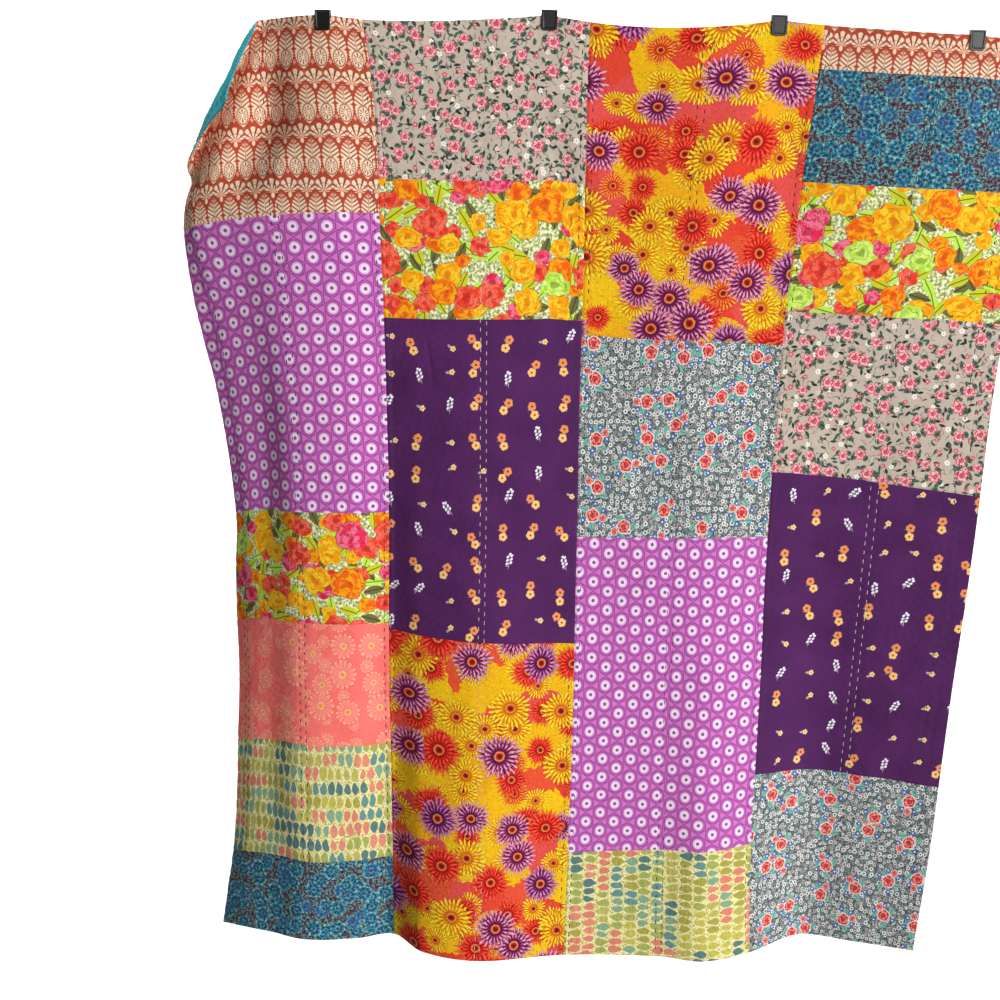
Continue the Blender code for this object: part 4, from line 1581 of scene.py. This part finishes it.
def object_fields(material):
    """Each point's place in its piece's own axes, in millimetres."""
    node = material.node_tree.nodes.new("ShaderNodeTexCoord")
    return tuple(part * 1000.0 for part in parts_of(Field(node.outputs["Object"])))


def add_bump(shader, height_in_mm):
    """Relief too fine for the mesh."""
    node = shader.id_data.nodes.new("ShaderNodeBump")
    node.inputs["Strength"].default_value = 1.0
    node.inputs["Distance"].default_value = MM
    plug(node.inputs["Height"], height_in_mm)
    plug(shader.inputs["Normal"], Field(node.outputs["Normal"]))


def weave(x, y):
    """Plain weave, as painted shade of threads over and under one another, from -1 to 1."""
    along = sine(x * (TURN / WEAVE_PITCH))
    through = sine(y * (TURN / WEAVE_PITCH))
    return along * through


def finish_cloth(shader, x, y, colour):
    """Slubs, painted shade of the weave's threads, and crinkles, on any printed or plain cotton."""
    slub = cloud(x * 0.12, y, 0.9, 1.0, 3.0) + cloud(x, y * 0.12, 0.9, 1.0, 9.0)
    # The slubs are the yarn's own tone; the weave's small ripple is painted shade of its threads.
    shade = 0.87 + 0.13 * slub + 0.025 * weave(x, y)
    plug(shader.inputs["Base Color"], tinted(colour, shade))
    shader.inputs["Roughness"].default_value = 0.86
    shader.inputs["Specular IOR Level"].default_value = 0.2
    add_bump(shader, cloud(x * 0.55, y, 6.5, 2.0, 27.0) * CRINKLE_HEIGHT)


def printed_cotton(name, paint):
    """Cotton with a print that wavers a little on its cloth."""
    material, shader = shader_of(name)
    x, y = cloth_fields(material)
    print_x = x + PRINT_WAVER * (cloud(x, y, PRINT_WAVER_SIZE, 1.0, 90.0) - 0.5)
    print_y = y + PRINT_WAVER * (cloud(x, y, PRINT_WAVER_SIZE, 1.0, 120.0) - 0.5)
    finish_cloth(shader, x, y, paint(print_x, print_y))
    return material


def plain_cotton(name):
    """Turquoise backing."""
    material, shader = shader_of(name)
    x, y = cloth_fields(material)
    colour = mix(cloud(x, y, 90.0, 2.0), (0, 150, 160), (0, 162, 170))
    finish_cloth(shader, x, y, colour)
    return material


def cotton_thread(name, colour):
    """Twisted thread."""
    material, shader = shader_of(name)
    x, y, z = object_fields(material)
    twist = sine((x * 0.9 + y + z * 1.3) * (TURN / TWIST_PITCH))
    tone = cloud(x, z, 7.0)
    dull = tuple(0.8 * step for step in colour)
    plug(shader.inputs["Base Color"], mix(tone, dull, colour))
    shader.inputs["Roughness"].default_value = 0.7
    shader.inputs["Sheen Weight"].default_value = 0.2
    add_bump(shader, twist * 0.12)
    return material


def clip_metal():
    """Black painted metal with fine orange peel and a little dust."""
    material, shader = shader_of("clip_black")
    x, _, z = object_fields(material)
    dust = ramp(cloud(x, z, 5.0, 4.0, 7.0, 0.7), 0.5, 0.75)
    plug(shader.inputs["Base Color"], mix(dust * 0.2, (8, 8, 9), (60, 60, 64)))
    shader.inputs["Roughness"].default_value = 0.36
    add_bump(shader, cloud(x, z, 0.7, 2.0) * 0.05)
    return material


# ---------------------------------------------------------------- stage, light and camera

FLOOR_LEVEL = -1.95
STAGE_HALF_WIDTH = 9.0
STAGE_FRONT = -6.0
STAGE_BACK = 3.2
STAGE_TOP = 6.0
STAGE_BEND = 1.6
STAGE_BEND_STEPS = 12

CAMERA_PLACE = (-0.200, -2.300, -0.253)
CAMERA_PITCH = math.radians(-12.0)
CAMERA_ROLL = math.radians(1.2)
CAMERA_LENS = 52.92
CAMERA_SENSOR = 36.0


def make_stage():
    """A pale floor that sweeps up into a pale wall, and throws no light back on the quilt."""
    profile = [(STAGE_FRONT, FLOOR_LEVEL), (STAGE_BACK - STAGE_BEND, FLOOR_LEVEL)]
    for step in range(1, STAGE_BEND_STEPS + 1):
        angle = 0.5 * math.pi * step / STAGE_BEND_STEPS
        profile.append((STAGE_BACK - STAGE_BEND + STAGE_BEND * math.sin(angle),
                        FLOOR_LEVEL + STAGE_BEND * (1 - math.cos(angle))))
    profile.append((STAGE_BACK, STAGE_TOP))
    points = np.array([[(side * STAGE_HALF_WIDTH, y, z) for y, z in profile] for side in (-1, 1)])
    material, shader = shader_of("stage_white")
    shader.inputs["Base Color"].default_value = (0.93, 0.93, 0.93, 1.0)
    shader.inputs["Roughness"].default_value = 0.9
    shader.inputs["Specular IOR Level"].default_value = 0.0
    faces = grid_faces(2, len(profile), True)
    stage = add_mesh("pale_floor", points, faces.tolist(), [material])
    stage.visible_diffuse = False


def hang_lamp(light, place_at, direction):
    """Put a light in the scene, shining in one direction."""
    lamp = bpy.data.objects.new(light.name, light)
    lamp.location = place_at
    lamp.rotation_euler = Vector(direction).to_track_quat("-Z", "Y").to_euler()
    bpy.context.scene.collection.objects.link(lamp)


def add_area_light(name, place_at, aim_at, size, power_watts):
    """A soft panel of light."""
    light = bpy.data.lights.new(name, "AREA")
    light.shape = "RECTANGLE"
    light.size, light.size_y = size
    light.energy = power_watts
    hang_lamp(light, place_at, Vector(aim_at) - Vector(place_at))


def add_sun(direction, spread_degrees, strength):
    """Even light over the whole quilt."""
    light = bpy.data.lights.new("window", "SUN")
    light.angle = math.radians(spread_degrees)
    light.energy = strength
    hang_lamp(light, (0.0, 0.0, 0.0), direction)


def light_scene():
    """Window light from the right, a fill from the front, and a bright wall behind."""
    world = bpy.data.worlds.new("soft white")
    world.use_nodes = True
    background = world.node_tree.nodes["Background"]
    background.inputs["Color"].default_value = (1.0, 1.0, 1.0, 1.0)
    background.inputs["Strength"].default_value = 0.2
    bpy.context.scene.world = world
    add_sun(direction=(-0.68, 0.72, -0.10), spread_degrees=10.0, strength=2.2)
    add_area_light("fill", place_at=(1.6, -3.8, -1.0), aim_at=(0.0, 0.0, -0.8),
                   size=(2.0, 2.0), power_watts=62.0)
    add_area_light("wall", place_at=(0.0, 1.1, 2.4), aim_at=(0.0, 3.2, -0.9),
                   size=(5.0, 1.2), power_watts=300.0)
    bpy.context.scene.view_settings.view_transform = "Standard"


def add_camera():
    """The view from a little below the top edge, tilted down and rolled a little."""
    camera = bpy.data.cameras.new("camera")
    camera.lens = CAMERA_LENS
    camera.sensor_width = CAMERA_SENSOR
    viewer = bpy.data.objects.new("camera", camera)
    viewer.matrix_world = (Matrix.Translation(CAMERA_PLACE)
                           @ Matrix.Rotation(0.5 * math.pi + CAMERA_PITCH, 4, "X")
                           @ Matrix.Rotation(CAMERA_ROLL, 4, "Z"))
    bpy.context.scene.collection.objects.link(viewer)
    bpy.context.scene.camera = viewer


# ---------------------------------------------------------------- the quilt

def make_prints():
    """One material for each print, by the name that the patches use."""
    painters = {
        "ogee": paint_ogee,
        "medallion": paint_medallion,
        "blossom": paint_blossom,
        "daisy": paint_daisy,
        "drops": paint_drops,
        "teal_heads": paint_teal_heads,
        "rosebud": paint_rosebud,
        "sprigs": paint_sprigs,
        "meadow": paint_meadow,
        "gerbera": paint_gerbera,
    }
    return {name: printed_cotton(f"print_{name}", paint) for name, paint in painters.items()}


def make_quilt():
    """The patchwork, the backing and the stitches, fixed to the root body in place of the CAD's top
    and backing.
    """
    prints = make_prints()
    threads = {
        "dark": cotton_thread("thread_dark", (38, 34, 58)),
        "pale": cotton_thread("thread_pale", (226, 218, 206)),
    }
    columns = [make_column(number, prints) for number in range(len(PATCHES))]
    backing = make_back(plain_cotton("backing_turquoise"))
    stitches = [make_rows(thread, material, of_back)
                for of_back in (False, True) for thread, material in threads.items()]
    stitches.append(make_front_hem_stitches(threads["pale"]))
    stitches.append(make_back_hem_stitches(threads["pale"]))
    stitches.append(make_thread_tail(threads["pale"]))

    for piece in columns + [backing] + stitches:
        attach(piece, "root")
    for column, (left, right) in zip(columns, zip(COLUMN_EDGES, COLUMN_EDGES[1:])):
        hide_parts("quilt_top")
    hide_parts("quilt_backing")


def finish_clips():
    """Paint the clips, which keep the shapes that they have in the CAD."""
    material = clip_metal()
    for name in CLIP_TABLE["name"]:
        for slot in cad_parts[name].material_slots:
            slot.material = material


make_stage()
light_scene()
add_camera()
make_quilt()
finish_clips()
